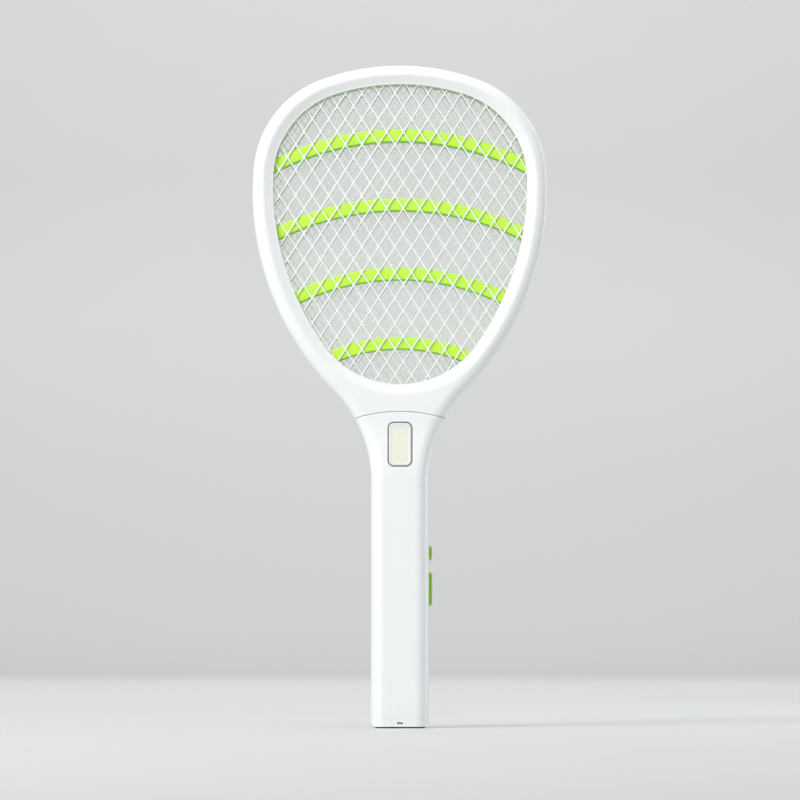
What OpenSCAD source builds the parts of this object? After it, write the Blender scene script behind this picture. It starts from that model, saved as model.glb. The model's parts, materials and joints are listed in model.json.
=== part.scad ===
// Electric fly swatter: a rechargeable racket with a live grid between two guard grids, a lamp in the neck
// and two controls on the side of the handle. It stands upright on its foot pad. +Z runs up the handle to
// the head, the front faces -Y and the controls are on +X. The origin is under the middle of the foot pad.

/* [Overall] */
// Length from the foot pad to the top of the head
total_l = 480; // [460:5:580]
// Width of the head at its widest point
head_w = 214; // [200:2:260]
// Thickness of the head from front to back
head_t = 24; // [22:1:30]
// Distance from the top of the head down to its widest point
widest_drop = 92; // [88:1:98]
// Width of the handle
handle_w = 42; // [38:1:52]
// Thickness of the handle from front to back
handle_t = 32; // [31:1:40]

/* [Head outline] */
// Radius of the arc along the top of the head
top_r = 165; // [150:1:175]
// Radius of each rounded shoulder
shoulder_r = 75; // [70:1:80]
// Radius of the long arc down each flank
flank_r = 206; // [195:1:220]
// Radius of the hollow curve from each flank into the handle
neck_r = 93; // [85:1:100]

/* [Rim] */
// Width of the rim at the top of the head
rim_top = 14; // [14:0.5:18]
// Width of the rim at the widest point
rim_side = 15; // [15:0.5:19]
// How far the rounded outer edge reaches in from the outline
edge_r = 9.5; // [8:0.5:12]
// Half height of the straight band along the parting line
edge_flat = 4; // [3:0.5:5]
// Width of the slope from the ridge down to the opening
slope_w = 7; // [5:0.5:8]
// Depth of that slope
slope_d = 2.8; // [2:0.1:3]

/* [Opening] */
// Height of the opening
opening_h = 218; // [200:2:224]
// Distance from the top of the opening down to its widest point
opening_drop = 74; // [70:1:80]
// Radius of the arc along the top of the opening
opening_top_r = 155; // [145:1:165]
// Radius of each shoulder of the opening
opening_shoulder_r = 65; // [60:1:70]
// Radius of the arc at the bottom of the opening
opening_low_r = 68; // [60:1:75]

/* [Grids] */
// How far the grids and spacers reach under the rim
seat = 4.5; // [3.5:0.5:5]
// Thickness of each guard grid
guard_t = 1; // [0.8:0.1:1.4]
// Width of a guard grid strand
guard_strand = 1.05; // [0.8:0.05:1.4]
// Width and height of one diamond of a guard grid
guard_cell = [12, 18.6];
// How far the guard grids' diamonds stand off the middle, sideways and up
guard_shift = [2.5, -2.5];
// Thickness of the live grid
electrode_t = 0.8; // [0.5:0.1:1.2]
// Width of a live grid strand
electrode_strand = 0.8; // [0.5:0.1:1]
// Width and height of one diamond of the live grid
electrode_cell = [10.4, 15];
// Height of each spacer from front to back
spacer_h = 6; // [5:0.5:7]
// Height of a spacer bar, seen from the front
bar_h = 8.8; // [6:0.2:10]
// Distance from the top of the opening down to the first bar
bar_drop = 32.7; // [28:0.5:36]
// Distance from one bar to the next
bar_pitch = 50.3; // [46:0.1:52]
// Radius of each bar's upper edge, from the top one down
bar_r = [205, 205, 175, 128];

/* [Shells] */
// Wall thickness
wall = 2.2; // [1.8:0.1:2.6]
// Distance from the opening down to the middle of the seam between head and handle
seam_drop = 20; // [17:0.5:22]
// Radius of the curved seam
seam_r = 110; // [85:1:125]
// Gap along the seam
seam_gap = 0.3; // [0.1:0.1:0.5]
// Radius of the rounded lower corners
corner_r = 3.6; // [2:0.2:5]
// Radius of a screw's thread
screw_r = 1.2; // [1:0.1:1.4]
// Radius of a screw's head
screw_head_r = 2.3; // [2:0.1:2.4]

/* [Lamp] */
// Width and height of the lens
lens = [16.3, 31];
// Radius of the lens corners
lens_corner_r = 3.8; // [3:0.2:6]
// Width of the dark bezel round the lens
bezel_w = 0.9; // [0.8:0.1:1.6]
// Distance from the middle of the seam down to the middle of the lens
lamp_drop = 23.6; // [23:0.2:28]

/* [Controls] */
// Height of the middle of the zap button
button_z = 100.1; // [98:0.1:104]
// Length of the zap button
button_l = 24.2; // [20:0.2:26]
// Width of both controls
control_w = 8; // [6:0.5:9]
// How far the controls stand out of the side
control_out = 2.3; // [1.6:0.1:3]
// Travel of the zap button
button_travel = 1.5; // [1:0.1:1.6]
// Height of the middle of the mode knob at rest
knob_z = 126.1; // [125:0.1:130]
// Length of the mode knob
knob_l = 10.4; // [9:0.2:12]
// Travel of the mode knob each way
knob_travel = 1.5; // [1:0.1:2]
// Height of the charge light
light_z = 116.7; // [115.5:0.1:117]

/* [Battery] */
// Radius of the battery cell
cell_r = 9.2; // [9:0.1:9.3]
// Length of the battery cell
cell_l = 65.2; // [65:0.1:66]

/* [Hidden] */
seg = 5;
fine = 48;
clear = 0.2;
running = 0.05;
thread_gap = 0.02;
eps = 0.01;

// The foot pad stands out below the shells
foot_t = 1.6;
foot_out = 0.9;
foot_margin = 3;
foot_r = 6;
end_wall = 2.4;

hw = handle_w / 2;
ht = handle_t / 2;

// Centres of the outline's arcs, each tangent to the next
top_c = [0, total_l - top_r];
flank_c = [head_w / 2 - flank_r, total_l - widest_drop];
shoulder_c = meet(top_c, top_r - shoulder_r, flank_c, flank_r - shoulder_r);
neck_x = hw + neck_r;
neck_c = [neck_x, flank_c.y - sqrt(pow(flank_r + neck_r, 2) - pow(neck_x - flank_c.x, 2))];
a_top = heading(shoulder_c - top_c);
a_flank = heading(shoulder_c - flank_c);
a_neck = heading(neck_c - flank_c);
// Each arc: centre, radius, first and last angle, 1 where the outline bulges and -1 where it is hollow
neck_arc = [neck_c, neck_r, a_neck + 180, 180, -1];
body_arcs = [
    [top_c, top_r, 90, a_top, 1],
    [shoulder_c, shoulder_r, a_top, a_flank, 1],
    [flank_c, flank_r, a_flank, a_neck, 1],
    neck_arc,
];

// The opening's arcs, in the same way
open_top = total_l - rim_top;
open_low = open_top - opening_h;
open_hw = head_w / 2 - rim_side;
open_top_c = [0, open_top - opening_top_r];
open_low_c = [0, open_low + opening_low_r];
open_wide_z = open_top - opening_drop;
open_rise = open_wide_z - open_low_c.y;
open_flank_r = (open_hw * open_hw + open_rise * open_rise - opening_low_r * opening_low_r)
    / (2 * (open_hw - opening_low_r));
open_flank_c = [open_hw - open_flank_r, open_wide_z];
open_shoulder_c = meet(open_top_c, opening_top_r - opening_shoulder_r,
    open_flank_c, open_flank_r - opening_shoulder_r);
b_top = heading(open_shoulder_c - open_top_c);
b_flank = heading(open_shoulder_c - open_flank_c);
b_low = heading(open_low_c - open_flank_c);
open_arcs = [
    [open_top_c, opening_top_r, 90, b_top, 1],
    [open_shoulder_c, opening_shoulder_r, b_top, b_flank, 1],
    [open_flank_c, open_flank_r, b_flank, b_low, 1],
    [open_low_c, opening_low_r, b_low, -90 + seg * 90 / (PI * opening_low_r), 1],
];

// The handle swells from the head's thickness to its own between the seam and the end of the neck curve
seam_z = open_low - seam_drop;
seam_c = [0, seam_z - seam_r];
swell_low = neck_c.y;
swell_high = seam_z - 6;

// The stack of grids and spacers, counted from the middle plane
electrode_y = electrode_t / 2;
guard_y = electrode_y + spacer_h;
stack_y = guard_y + guard_t;
pocket_y = stack_y + clear / 2;
lip_y = head_t / 2 - slope_d;
// Width of each spacer's ring, which stays hidden under the rim
ring_w = 1.3;

// The hollow inside the rim has two steps that follow the rounded edge
pocket_wall = 1.8;
hollow_in = seat + clear + pocket_wall;
hollow_steps = [[wall + 0.2, 5], [5.5, head_t / 2 - 2.5]];

// The grids' terminals stand under the opening and stop just below the grids' curved lower edge
terminal_x = 12;
terminal_w = 4;
terminal_t = 0.6;
terminal_low = open_low - seat - 5.5;
terminal_top = open_low_c.y - running
    - sqrt(pow(opening_low_r + seat, 2) - pow(terminal_x - terminal_w / 2, 2));

// Head screws sit in the middle of the rim's hollow
rim_screw_in = (rim_side - hollow_in + wall) / 2;
rim_boss_r = 3.4;
rim_seat_y = 6.5;
rim_screws = [
    arc_point(body_arcs[0], 0, -rim_screw_in + 0.3),
    arc_point(body_arcs[1], 0.35, -rim_screw_in),
    arc_point(body_arcs[2], 0.12, -rim_screw_in),
    arc_point(body_arcs[2], 0.55, -rim_screw_in),
    [0, open_low - hollow_in - 2.5],
];

// Lugs on the head run down inside the handle and are clamped by two screws
lug_w = 6.5;
lug_x = hw - 0.8 - lug_w;
lug_y = head_t / 2 - wall - clear;
lug_low = seam_z - 21;
lug_screw = [lug_x + lug_w / 2, lug_low + 6];
lug_seat_y = lug_y + clear + 1.2;

// Screw bosses inside the handle
boss_r = 3.2;
// The bosses run a little into the side walls
boss_x = hw - wall - boss_r + 0.3;
cell_z = foot_out + end_wall + 12.7;
board_z = cell_z + cell_l + 5.3;
board_l = 89.5;
boss_z = [foot_out + end_wall + 6, cell_z + cell_l + 1, board_z + board_l + 7];
shell_seat_y = ht - 5;
thread_deep = 6;
head_h = 1.5;

// The lamp
lamp_z = seam_z - lamp_drop;
lens_t = 1.8;
bezel_t = 3.4;
lamp_board_t = 1;
lamp_board_y = head_t / 2 - bezel_t - 0.3 - lamp_board_t;
lamp_window_y = lamp_board_y + lamp_board_t;
lamp_post_r = 1.1;
lamp_post = [lens.x / 2 + bezel_w + 1.05, lens.y / 2 + bezel_w - 0.2];
lamp_posts = [for (x = [-1, 1], z = [-1, 1]) [x * lamp_post.x, lamp_z + z * lamp_post.y]];
led_size = [3.5, 1.7, 2.8];
led_pitch = 8.5;

// The circuit board and what stands on it
board_y = 3;
board_t = 1.6;
board_hw = 13.4;
board_back = board_y + board_t;
board_inner_x = hw - 8.5;
board_screw_r = 0.9;
board_boss_r = 2.4;
board_screws = [for (x = [2.4 - board_hw, board_inner_x - 2.2], z = [3.5, board_l - 4]) [x, board_z + z]];
trafo = [-2, -4.2, board_z + 61];

// The controls
side_x = hw;
inner_x = side_x - wall;
flange_t = 1.2;
flange_out = 1.5;
flange_x = inner_x - 0.4 - flange_t;
push_body = [6, 6, 6];
push_x = flange_x - 4.7;
plunger_r = 1.7;
plunger_out = 2.2;
plunger_in = 3;
stem_r = 2.2;
spring_r = 2.7;
spring_wire = 0.25;
spring_turns = 4;
slide_body = [6.4, 6, 12.3];
slide_x = push_x;
lever = [3, 2];
lever_in = 2.4;
knob_neck = [3, 3.6];
knob_block = [1.5, 7, 8.5];
light_r = 0.7;

// The strap slot low on the front, with its pin
strap_slot = [4.1, 1.3];
strap_z = 3.7;
strap_pin_r = 0.5;
strap_pin_y = 1.4;
strap_pin_l = 5.4;
strap_deep = 3.6;
strap_boss = [7, 2.3, 4.8];

// Radius of every lead
lead_r = 0.6;

// The charging port in the foot
port = [9, 3.3, 7.4];
port_r = 1.2;
port_wall = 0.35;

// ---- Outlines --------------------------------------------------------------------------------------------

function heading(v) = atan2(v.y, v.x);

// The right-hand crossing of two circles
function meet(a, ra, b, rb) =
    let (d = norm(b - a), u = (b - a) / d, t = (ra * ra - rb * rb + d * d) / (2 * d))
    let (side = [-u.y, u.x] * sqrt(ra * ra - t * t), p = a + u * t + side, q = a + u * t - side)
    p.x > q.x ? p : q;

// A point part of the way along an arc, moved out of the shape by grow
function arc_point(arc, part, grow) =
    let (a = arc[2] + (arc[3] - arc[2]) * part)
    arc[0] + (arc[1] + arc[4] * grow) * [cos(a), sin(a)];

function arc_steps(arc) = ceil(arc[1] * abs(arc[3] - arc[2]) * PI / 180 / seg);

// Points along a chain of arcs, down the right-hand side
function trace(arcs, grow) = concat(
    [for (arc = arcs, i = [0 : arc_steps(arc) - 1]) arc_point(arc, i / arc_steps(arc), grow)],
    [arc_point(arcs[len(arcs) - 1], 1, grow)]);

// The right-hand points followed by their mirror images, back up the left; the first lies on the middle line
function both_sides(right) = concat(right, [for (i = [len(right) - 1 : -1 : 1]) [-right[i].x, right[i].y]]);

function head_outline(grow) = both_sides(trace(body_arcs, grow));
function opening_outline(grow) = both_sides(trace(open_arcs, grow));
// The top of this one is above the seam, which cuts it away
function handle_outline(grow, low) =
    let (right = trace([neck_arc], grow))
    both_sides(concat([[0, right[0].y + 1]], right, [[hw + grow, low]]));

function rounded_outline(w, h, r, steps = 8) = [
    for (c = [[1, 1, 0], [-1, 1, 90], [-1, -1, 180], [1, -1, 270]], i = [0 : steps])
        [c.x * (w / 2 - r), c.y * (h / 2 - r)] + r * [cos(c.z + 90 * i / steps), sin(c.z + 90 * i / steps)]
];

// ---- Building blocks -------------------------------------------------------------------------------------

function smooth(t) = let (u = max(0, min(1, t))) u * u * (3 - 2 * u);

// Half the thickness at height z
function half_t(z) =
    head_t / 2 + (ht - head_t / 2) * smooth((swell_high - z) / (swell_high - swell_low));

// One loop round the outer surface: angle 0 is at the side and 90 where the front becomes flat
function skin_ring(loop, inset, angle) = [
    for (p = loop) [p.x, -edge_flat - (half_t(p.y) - inset - edge_flat) * sin(angle), p.y]
];

function edge_in(inset, angle) = inset + (edge_r - inset) * (1 - cos(angle));

// A solid through equal loops that are each symmetric about the middle line
module loft(rings) {
    n = len(rings[0]);
    last = len(rings) - 1;
    half = (n - 1) / 2;
    sides = [for (k = [0 : last - 1], i = [0 : n - 1])
        let (j = (i + 1) % n) [k * n + i, k * n + j, (k + 1) * n + j, (k + 1) * n + i]];
    near = concat([[0, n - 1, 1]], [for (i = [1 : half - 1]) [i, n - i, n - i - 1, i + 1]]);
    far = concat([[0, 1, n - 1]], [for (i = [1 : half - 1]) [i, i + 1, n - i - 1, n - i]]);
    polyhedron(points = [for (r = rings) each r],
        faces = concat(sides, near, [for (f = far) [for (v = f) v + last * n]]), convexity = 6);
}

// The front half of the racket's skin, moved in by inset, from the parting plane forward
module head_half(inset) {
    loft(concat([[for (p = head_outline(-inset)) [p.x, 0, p.y]]],
        [for (a = [0 : 15 : 90]) skin_ring(head_outline(-edge_in(inset, a)), inset, a)]));
}

module handle_half(inset, low, lap = 0) {
    loft(concat([[for (p = handle_outline(-inset, low)) [p.x, lap, p.y]]],
        [for (a = [0 : 15 : 90]) skin_ring(handle_outline(-edge_in(inset, a), low), inset, a)]));
}

// A flat outline in the XZ plane, thick from y0 to y1
module slab(points, y0, y1) {
    translate([0, y1, 0]) rotate([90, 0, 0]) linear_extrude(y1 - y0) polygon(points);
}

module block(x, y, z) {
    translate([x[0], y[0], z[0]]) cube([x[1] - x[0], y[1] - y[0], z[1] - z[0]]);
}

// A cylinder along Y at p = [x, z], from y0 to y1
module rod_y(p, r, y0, y1) {
    translate([p.x, y1, p.y]) rotate([90, 0, 0]) cylinder(r = r, h = y1 - y0, $fn = fine);
}

// A cylinder along X at [y, z], from x0 to x1
module rod_x(y, z, r, x0, x1) {
    translate([x0, y, z]) rotate([0, 90, 0]) cylinder(r = r, h = x1 - x0, $fn = fine);
}

// Everything below the curved seam, or below a curve that lies higher by grow
module below_seam(grow) {
    rod_y(seam_c, seam_r + grow, -ht - 1, ht + 1);
    block([-seam_r, seam_r], [-ht - 1, ht + 1], [-1, seam_c.y]);
}

module both_x() {
    children();
    mirror([1, 0, 0]) children();
}

// The rim screws stand on both sides, except those on the middle line
module at_rim_screws() {
    for (p = rim_screws) {
        translate([p.x, 0, p.y]) children();
        if (p.x > 1) translate([-p.x, 0, p.y]) children();
    }
}

function unit(v) = v / norm(v);

// A point on a smooth curve that passes through every point of a route
function on_route(route, i, t) =
    let (last = len(route) - 1)
    let (a = route[max(0, i - 1)], b = route[i], c = route[i + 1], d = route[min(last, i + 2)])
    b + t * ((c - a) / 2 + t * (a - 2.5 * b + 2 * c - d / 2 + t * (1.5 * (b - c) + (d - a) / 2)));

// A lead swept along a route, none of whose stretches runs along Y
module wire(route, r) {
    parts = 4;
    sides = 8;
    path = concat([for (i = [0 : len(route) - 2], k = [0 : parts - 1]) on_route(route, i, k / parts)],
        [route[len(route) - 1]]);
    last = len(path) - 1;
    rings = [for (i = [0 : last])
        let (along = unit(path[min(last, i + 1)] - path[max(0, i - 1)]))
        let (u = unit(cross(along, [0, 1, 0])), v = cross(along, u))
        [for (k = [0 : sides - 1]) path[i] + r * (u * cos(k * 360 / sides) + v * sin(k * 360 / sides))]];
    walls = [for (i = [0 : last - 1], k = [0 : sides - 1])
        let (a = i * sides + k, b = i * sides + (k + 1) % sides) [a, a + sides, b + sides, b]];
    polyhedron(points = [for (ring = rings) each ring],
        faces = concat(walls, [[for (k = [0 : sides - 1]) k]],
            [[for (k = [sides - 1 : -1 : 0]) last * sides + k]]), convexity = 8);
}

// ---- Head ------------------------------------------------------------------------------------------------

// The hollow of the rim, less the bosses that stand in it
module rim_hollow() {
    difference() {
        for (s = hollow_steps)
            difference() {
                slab(head_outline(-s[0]), -s[1], 1);
                slab(opening_outline(hollow_in), -s[1] - 1, 2);
            }
        at_rim_screws() rod_y([0, 0], rim_boss_r, -head_t, head_t);
    }
}

// Openings in the pocket's lower wall for the grid terminals
module terminal_gaps() {
    for (x = [-terminal_x, terminal_x])
        block([x - terminal_w / 2 - clear, x + terminal_w / 2 + clear], [-pocket_y, 1],
            [open_low - hollow_in - 1, open_low]);
}

// One half of the head, without its screw holes
module frame_half() {
    difference() {
        head_half(0);
        below_seam(seam_gap);
        loft([
            for (s = [[1, 0], [-lip_y, 0], [-lip_y - slope_d - 1, slope_w * (slope_d + 1) / slope_d]])
                [for (p = opening_outline(s[1])) [p.x, s[0], p.y]]
        ]);
        slab(opening_outline(seat + clear), -pocket_y, 1);
        rim_hollow();
        terminal_gaps();
    }
    both_x() {
        block([lug_x, lug_x + lug_w], [-lug_y, 0], [lug_low, seam_z + 1]);
        block([lug_x, lug_x + lug_w], [-lug_y - 1, 0], [seam_z, seam_z + 5]);
    }
}

module head_front_frame() {
    color("white") difference() {
        frame_half();
        at_rim_screws() rod_y([0, 0], screw_r + thread_gap, -thread_deep - 0.5, 1);
        both_x() rod_y(lug_screw, screw_r + thread_gap, -thread_deep - 0.5, 1);
    }
}

module head_rear_frame() {
    color("white") difference() {
        mirror([0, 1, 0]) frame_half();
        at_rim_screws() {
            rod_y([0, 0], screw_r + clear, -1, head_t);
            rod_y([0, 0], screw_head_r + clear, rim_seat_y, head_t);
        }
        both_x() rod_y(lug_screw, screw_r + clear, -1, head_t);
    }
}

// A sheet with a diamond grid, its outer border hidden under the rim
module grid(cell, strand, shift, y0, y1) {
    rows = ceil(opening_h / cell.y) + 1;
    columns = ceil(open_hw / cell.x) + 1;
    slope = atan2(cell.y, cell.x);
    hole = [cell.x / 2 - strand / 2 / sin(slope), cell.y / 2 - strand / 2 / cos(slope)];
    difference() {
        slab(opening_outline(seat), y0, y1);
        intersection() {
            slab(opening_outline(1.5), y0 - 1, y1 + 1);
            for (i = [-2 * columns : 2 * columns], j = [0 : 2 * rows]) {
                x = i * cell.x / 2 + shift.x;
                z = open_low + (j - 1) * cell.y / 2 + shift.y;
                if ((i + j) % 2 == 0 && near_opening(x, z, cell.y / 2))
                    translate([x, 0, z])
                        slab([[hole.x, 0], [0, hole.y], [-hole.x, 0], [0, -hole.y]], y0 - 0.5, y1 + 0.5);
            }
        }
    }
}

// True where a diamond centred at x, z could reach the opening
function near_opening(x, z, reach) =
    let (side = norm([abs(x), z] - open_flank_c) < open_flank_r + reach)
    let (low = z > open_low_c.y || norm([x, z] - open_low_c) < opening_low_r + reach)
    let (high = norm([x, z] - open_top_c) < opening_top_r + reach)
    abs(x) < open_hw + reach && side && low && high && z > open_low - reach;

module guard_mesh_front() {
    color("whitesmoke") grid(guard_cell, guard_strand, guard_shift, -stack_y, -guard_y);
}

module guard_mesh_rear() {
    color("whitesmoke") grid(guard_cell, guard_strand, guard_shift, guard_y, stack_y);
}

module electrode_mesh() {
    color("silver") grid(electrode_cell, electrode_strand, [0, 0], -electrode_y, electrode_y);
}

// A ring under the rim with four curved bars across the opening
module spacer(y0, y1) {
    difference() {
        slab(opening_outline(seat), y0, y1);
        slab(opening_outline(seat - ring_w), y0 - 1, y1 + 1);
    }
    intersection() {
        slab(opening_outline(seat - 1), y0, y1);
        for (i = [0 : len(bar_r) - 1]) {
            r = bar_r[i];
            reach = asin(min(0.99, (open_hw + seat) / r));
            translate([0, y1, open_top - bar_drop - i * bar_pitch - r])
                rotate([90, 0, 0])
                    rotate_extrude(angle = 2 * reach, start = 90 - reach, $fn = 180)
                        translate([r - bar_h, 0]) square([bar_h, y1 - y0]);
        }
    }
}

module spacer_front() {
    color("greenyellow") spacer(-guard_y, -electrode_y);
}

module spacer_rear() {
    color("greenyellow") spacer(electrode_y, guard_y);
}

module screw(seat_y, length) {
    rod_y([0, 0], screw_r, seat_y - length, seat_y + eps);
    difference() {
        rod_y([0, 0], screw_head_r, seat_y, seat_y + head_h);
        for (a = [0, 90])
            rotate([0, a, 0]) block([-1.4, 1.4], [seat_y + 0.6, seat_y + head_h + 1], [-0.3, 0.3]);
    }
}

module head_screws() {
    color("silver") at_rim_screws() screw(rim_seat_y, rim_seat_y + thread_deep);
}

// A bracket that joins both guard grids under the opening
module guard_terminal() {
    color("goldenrod") {
        for (y = [-stack_y, guard_y])
            block([-terminal_x - terminal_w / 2, -terminal_x + terminal_w / 2], [y, y + guard_t],
                [terminal_low, terminal_top]);
        block([-terminal_x - terminal_w / 2, -terminal_x + terminal_w / 2], [-stack_y, stack_y],
            [terminal_low - terminal_t, terminal_low]);
    }
}

module electrode_terminal() {
    color("goldenrod")
        block([terminal_x - terminal_w / 2, terminal_x + terminal_w / 2], [-electrode_y, electrode_y],
            [terminal_low - terminal_t, terminal_top]);
}

// ---- Handle ----------------------------------------------------------------------------------------------

// One half of the handle, closed at the foot: the outer skin less the inner one. What children hold stays
// in the hollow as bosses and posts.
module shell_half() {
    difference() {
        intersection() {
            handle_half(0, foot_out);
            below_seam(0);
        }
        difference() {
            handle_half(wall, foot_out + end_wall, 1);
            children();
        }
        both_x() difference() {
            block([hw - corner_r, hw + 1], [-ht - 1, ht + 1], [foot_out - 1, foot_out + corner_r]);
            rod_y([hw - corner_r, foot_out + corner_r], corner_r, -ht - 2, ht + 2);
        }
        foot_shape(clear, -1, foot_t + clear / 2);
        slot_z([0, 0], port.x + 2 * clear, port.y + 2 * clear, port_r + clear, -1, foot_out + end_wall + 1);
        control_slots();
    }
}

module foot_shape(grow, z0, z1) {
    slot_z([0, 0], handle_w - 2 * (foot_margin - grow), handle_t - 2 * (foot_margin - grow), foot_r + grow,
        z0, z1);
}

// A rounded upright slot at [x, y]
module slot_z(p, w, d, r, z0, z1) {
    translate([p.x, p.y, z0]) linear_extrude(z1 - z0) polygon(rounded_outline(w, d, r));
}

module control_slots() {
    block([hw - wall - 2, hw + 1], [-control_w / 2 - clear, control_w / 2 + clear],
        [button_z - button_l / 2 - clear, button_z + button_l / 2 + clear]);
    neck_reach = knob_neck.y / 2 + knob_travel + clear;
    block([hw - wall - 2, hw + 1], [-knob_neck.x / 2 - clear, knob_neck.x / 2 + clear],
        [knob_z - neck_reach, knob_z + neck_reach]);
    rod_x(0, light_z, light_r + thread_gap, hw - wall - 2, hw + 1);
}

module shell_bosses(y0, y1, r) {
    for (z = boss_z) both_x() rod_y([boss_x, z], r, y0, y1);
}

module handle_front_shell() {
    color("white") difference() {
        shell_half() {
            shell_bosses(-ht, 1, boss_r);
            block([-strap_boss.x / 2, strap_boss.x / 2], [-ht, -ht + wall + strap_boss.y],
                [0, foot_out + end_wall + strap_boss.z]);
            for (p = lamp_posts) rod_y(p, lamp_post_r, -ht, -lamp_board_y - lamp_board_t);
        }
        shell_bosses(-thread_deep - 0.5, 1, screw_r + thread_gap);
        translate([0, 0, lamp_z]) slab(lens_outline(bezel_w), -ht - 1, -lamp_window_y);
        translate([0, 0, strap_z])
            slab(rounded_outline(strap_slot.x, strap_slot.y, strap_slot.y / 2 - eps),
                -ht - 1, -ht + strap_deep);
        translate([0, -ht + strap_pin_y, foot_out + 1])
            cylinder(r = strap_pin_r + thread_gap, h = strap_pin_l + 0.2, $fn = fine);
    }
}

module handle_rear_shell() {
    color("white") difference() {
        mirror([0, 1, 0]) shell_half() {
            shell_bosses(-ht, 1, boss_r);
            for (p = board_screws) rod_y(p, board_boss_r, -ht, -board_back);
            both_x() rod_y(lug_screw, boss_r, -ht, -lug_y - clear);
        }
        shell_bosses(-1, ht + 1, screw_r + clear);
        shell_bosses(shell_seat_y, ht + 1, screw_head_r + clear);
        both_x() {
            rod_y(lug_screw, screw_r + clear, -1, ht + 1);
            rod_y(lug_screw, screw_head_r + clear, lug_seat_y, ht + 1);
        }
        for (p = board_screws) rod_y(p, board_screw_r + thread_gap, board_back - 1, board_back + 5);
    }
}

module handle_screws() {
    color("silver") both_x() {
        for (z = boss_z) translate([boss_x, 0, z]) screw(shell_seat_y, shell_seat_y + thread_deep);
        translate([lug_screw.x, 0, lug_screw.y]) screw(lug_seat_y, lug_seat_y + thread_deep);
    }
}

module foot_pad() {
    color("dimgray") difference() {
        foot_shape(0, 0, foot_t);
        slot_z([0, 0], port.x + 2, port.y + 2, port_r + 1, -1, foot_t + 1);
    }
}

module strap_pin() {
    color("silver")
        translate([0, -ht + strap_pin_y, foot_out + 1.1])
            cylinder(r = strap_pin_r, h = strap_pin_l, $fn = fine);
}

// ---- Lamp ------------------------------------------------------------------------------------------------

function lens_outline(grow) = rounded_outline(lens.x + 2 * grow, lens.y + 2 * grow, lens_corner_r + grow);

// The part of the front skin down to depth, inside an outline
module skin_patch(depth, points) {
    intersection() {
        difference() {
            handle_half(0, lamp_z - lens.y);
            handle_half(depth, lamp_z - lens.y - 1, 1);
        }
        translate([0, 0, lamp_z]) slab(points, -ht - 1, 0);
    }
}

module lamp_bezel() {
    color("dimgray") difference() {
        skin_patch(bezel_t, lens_outline(bezel_w - thread_gap));
        translate([0, 0, lamp_z]) slab(lens_outline(0), -ht - 2, 1);
    }
}

module lamp_lens() {
    color("ivory") skin_patch(lens_t, lens_outline(-thread_gap));
}

module lamp_board() {
    margin = lamp_post_r + 0.05;
    color("white") block([-lamp_post.x - margin, lamp_post.x + margin],
        [-lamp_board_y - lamp_board_t, -lamp_board_y],
        [lamp_z - lamp_post.y - margin, lamp_z + lamp_post.y + margin]);
}

module lamp_leds() {
    color("gold") for (i = [-1 : 1])
        block([-led_size.x / 2, led_size.x / 2],
            [-lamp_board_y - lamp_board_t - led_size.y, -lamp_board_y - lamp_board_t],
            [lamp_z + i * led_pitch - led_size.z / 2, lamp_z + i * led_pitch + led_size.z / 2]);
}

// ---- Electronics -----------------------------------------------------------------------------------------

module circuit_board() {
    color("seagreen") difference() {
        block([-board_hw, board_inner_x], [board_y, board_back], [board_z, board_z + board_l]);
        for (p = board_screws) rod_y(p, 1.1, 0, 10);
    }
}

module board_screws() {
    color("silver") for (p = board_screws) {
        rod_y(p, board_screw_r, board_y - 1, board_back + 4.5);
        rod_y(p, 1.8, board_y - 1.2, board_y);
    }
}

module transformer_core() {
    color("dimgray") translate(trafo) difference() {
        block([-8, 8], [-2.5, 2.5], [-7, 7]);
        both_x() block([2.2, 5.8], [-3, 3], [-4.8, 4.8]);
    }
}

module transformer_winding() {
    color("goldenrod") translate(trafo) {
        difference() {
            block([-5.7, 5.7], [-6, 6], [-4.6, 4.6]);
            block([-2.25, 2.25], [-2.55, 2.55], [-5, 5]);
        }
        block([-5.7, 5.7], [6, board_y - trafo.y], [-4.6, 4.6]);
    }
}

module hv_capacitor() {
    color("firebrick") block([-9, 4], [board_y - 8, board_y], [board_z + 73, board_z + 80]);
}

module multiplier_capacitors() {
    color("steelblue") for (i = [0 : 2])
        rod_y([-8.5 + i * 6.6, board_z + 49], 2.9, board_y - 2.6, board_y);
}

module diodes() {
    color("black") for (i = [0 : 3])
        rod_x(board_y - 1.4, board_z + 35.4 + i * 3, 1.2, -8, -3.4);
}

module bleed_resistors() {
    color("tan") for (i = [0 : 1])
        rod_x(board_y - 1.4, board_z + 37 + i * 4, 1.1, -1, 5.2);
}

module switching_transistor() {
    color("black") difference() {
        translate([-8, board_y - 1.4, board_z + 22]) cylinder(r = 2.3, h = 4.6, $fn = fine);
        block([-12, -4], [board_y, board_y + 5], [board_z + 20, board_z + 28]);
    }
}

module charge_controller() {
    color("black") block([-10, -5], [board_y - 1.5, board_y], [board_z + 8, board_z + 12]);
}

module charging_port() {
    color("silver") {
        difference() {
            slot_z([0, 0], port.x, port.y, port_r, foot_out + 0.6, foot_out + 0.6 + port.z);
            slot_z([0, 0], port.x - 2 * port_wall, port.y - 2 * port_wall, port_r - port_wall,
                foot_out, foot_out + port.z - 0.4);
        }
        block([-3.3, 3.3], [-0.35, 0.35], [foot_out + 2, foot_out + port.z]);
    }
}

module port_board() {
    color("seagreen") block([-9, 9], [port.y / 2, port.y / 2 + 1.2],
        [foot_out + end_wall, foot_out + end_wall + 10]);
}

module indicator_led() {
    color("white") block([board_inner_x - 3.2, board_inner_x - 0.2], [-0.8, board_y],
        [light_z - 0.8, light_z + 0.8]);
}

module light_pipe() {
    color("lightgray") rod_x(0, light_z, light_r, board_inner_x, hw);
}

// ---- Controls --------------------------------------------------------------------------------------------

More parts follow.
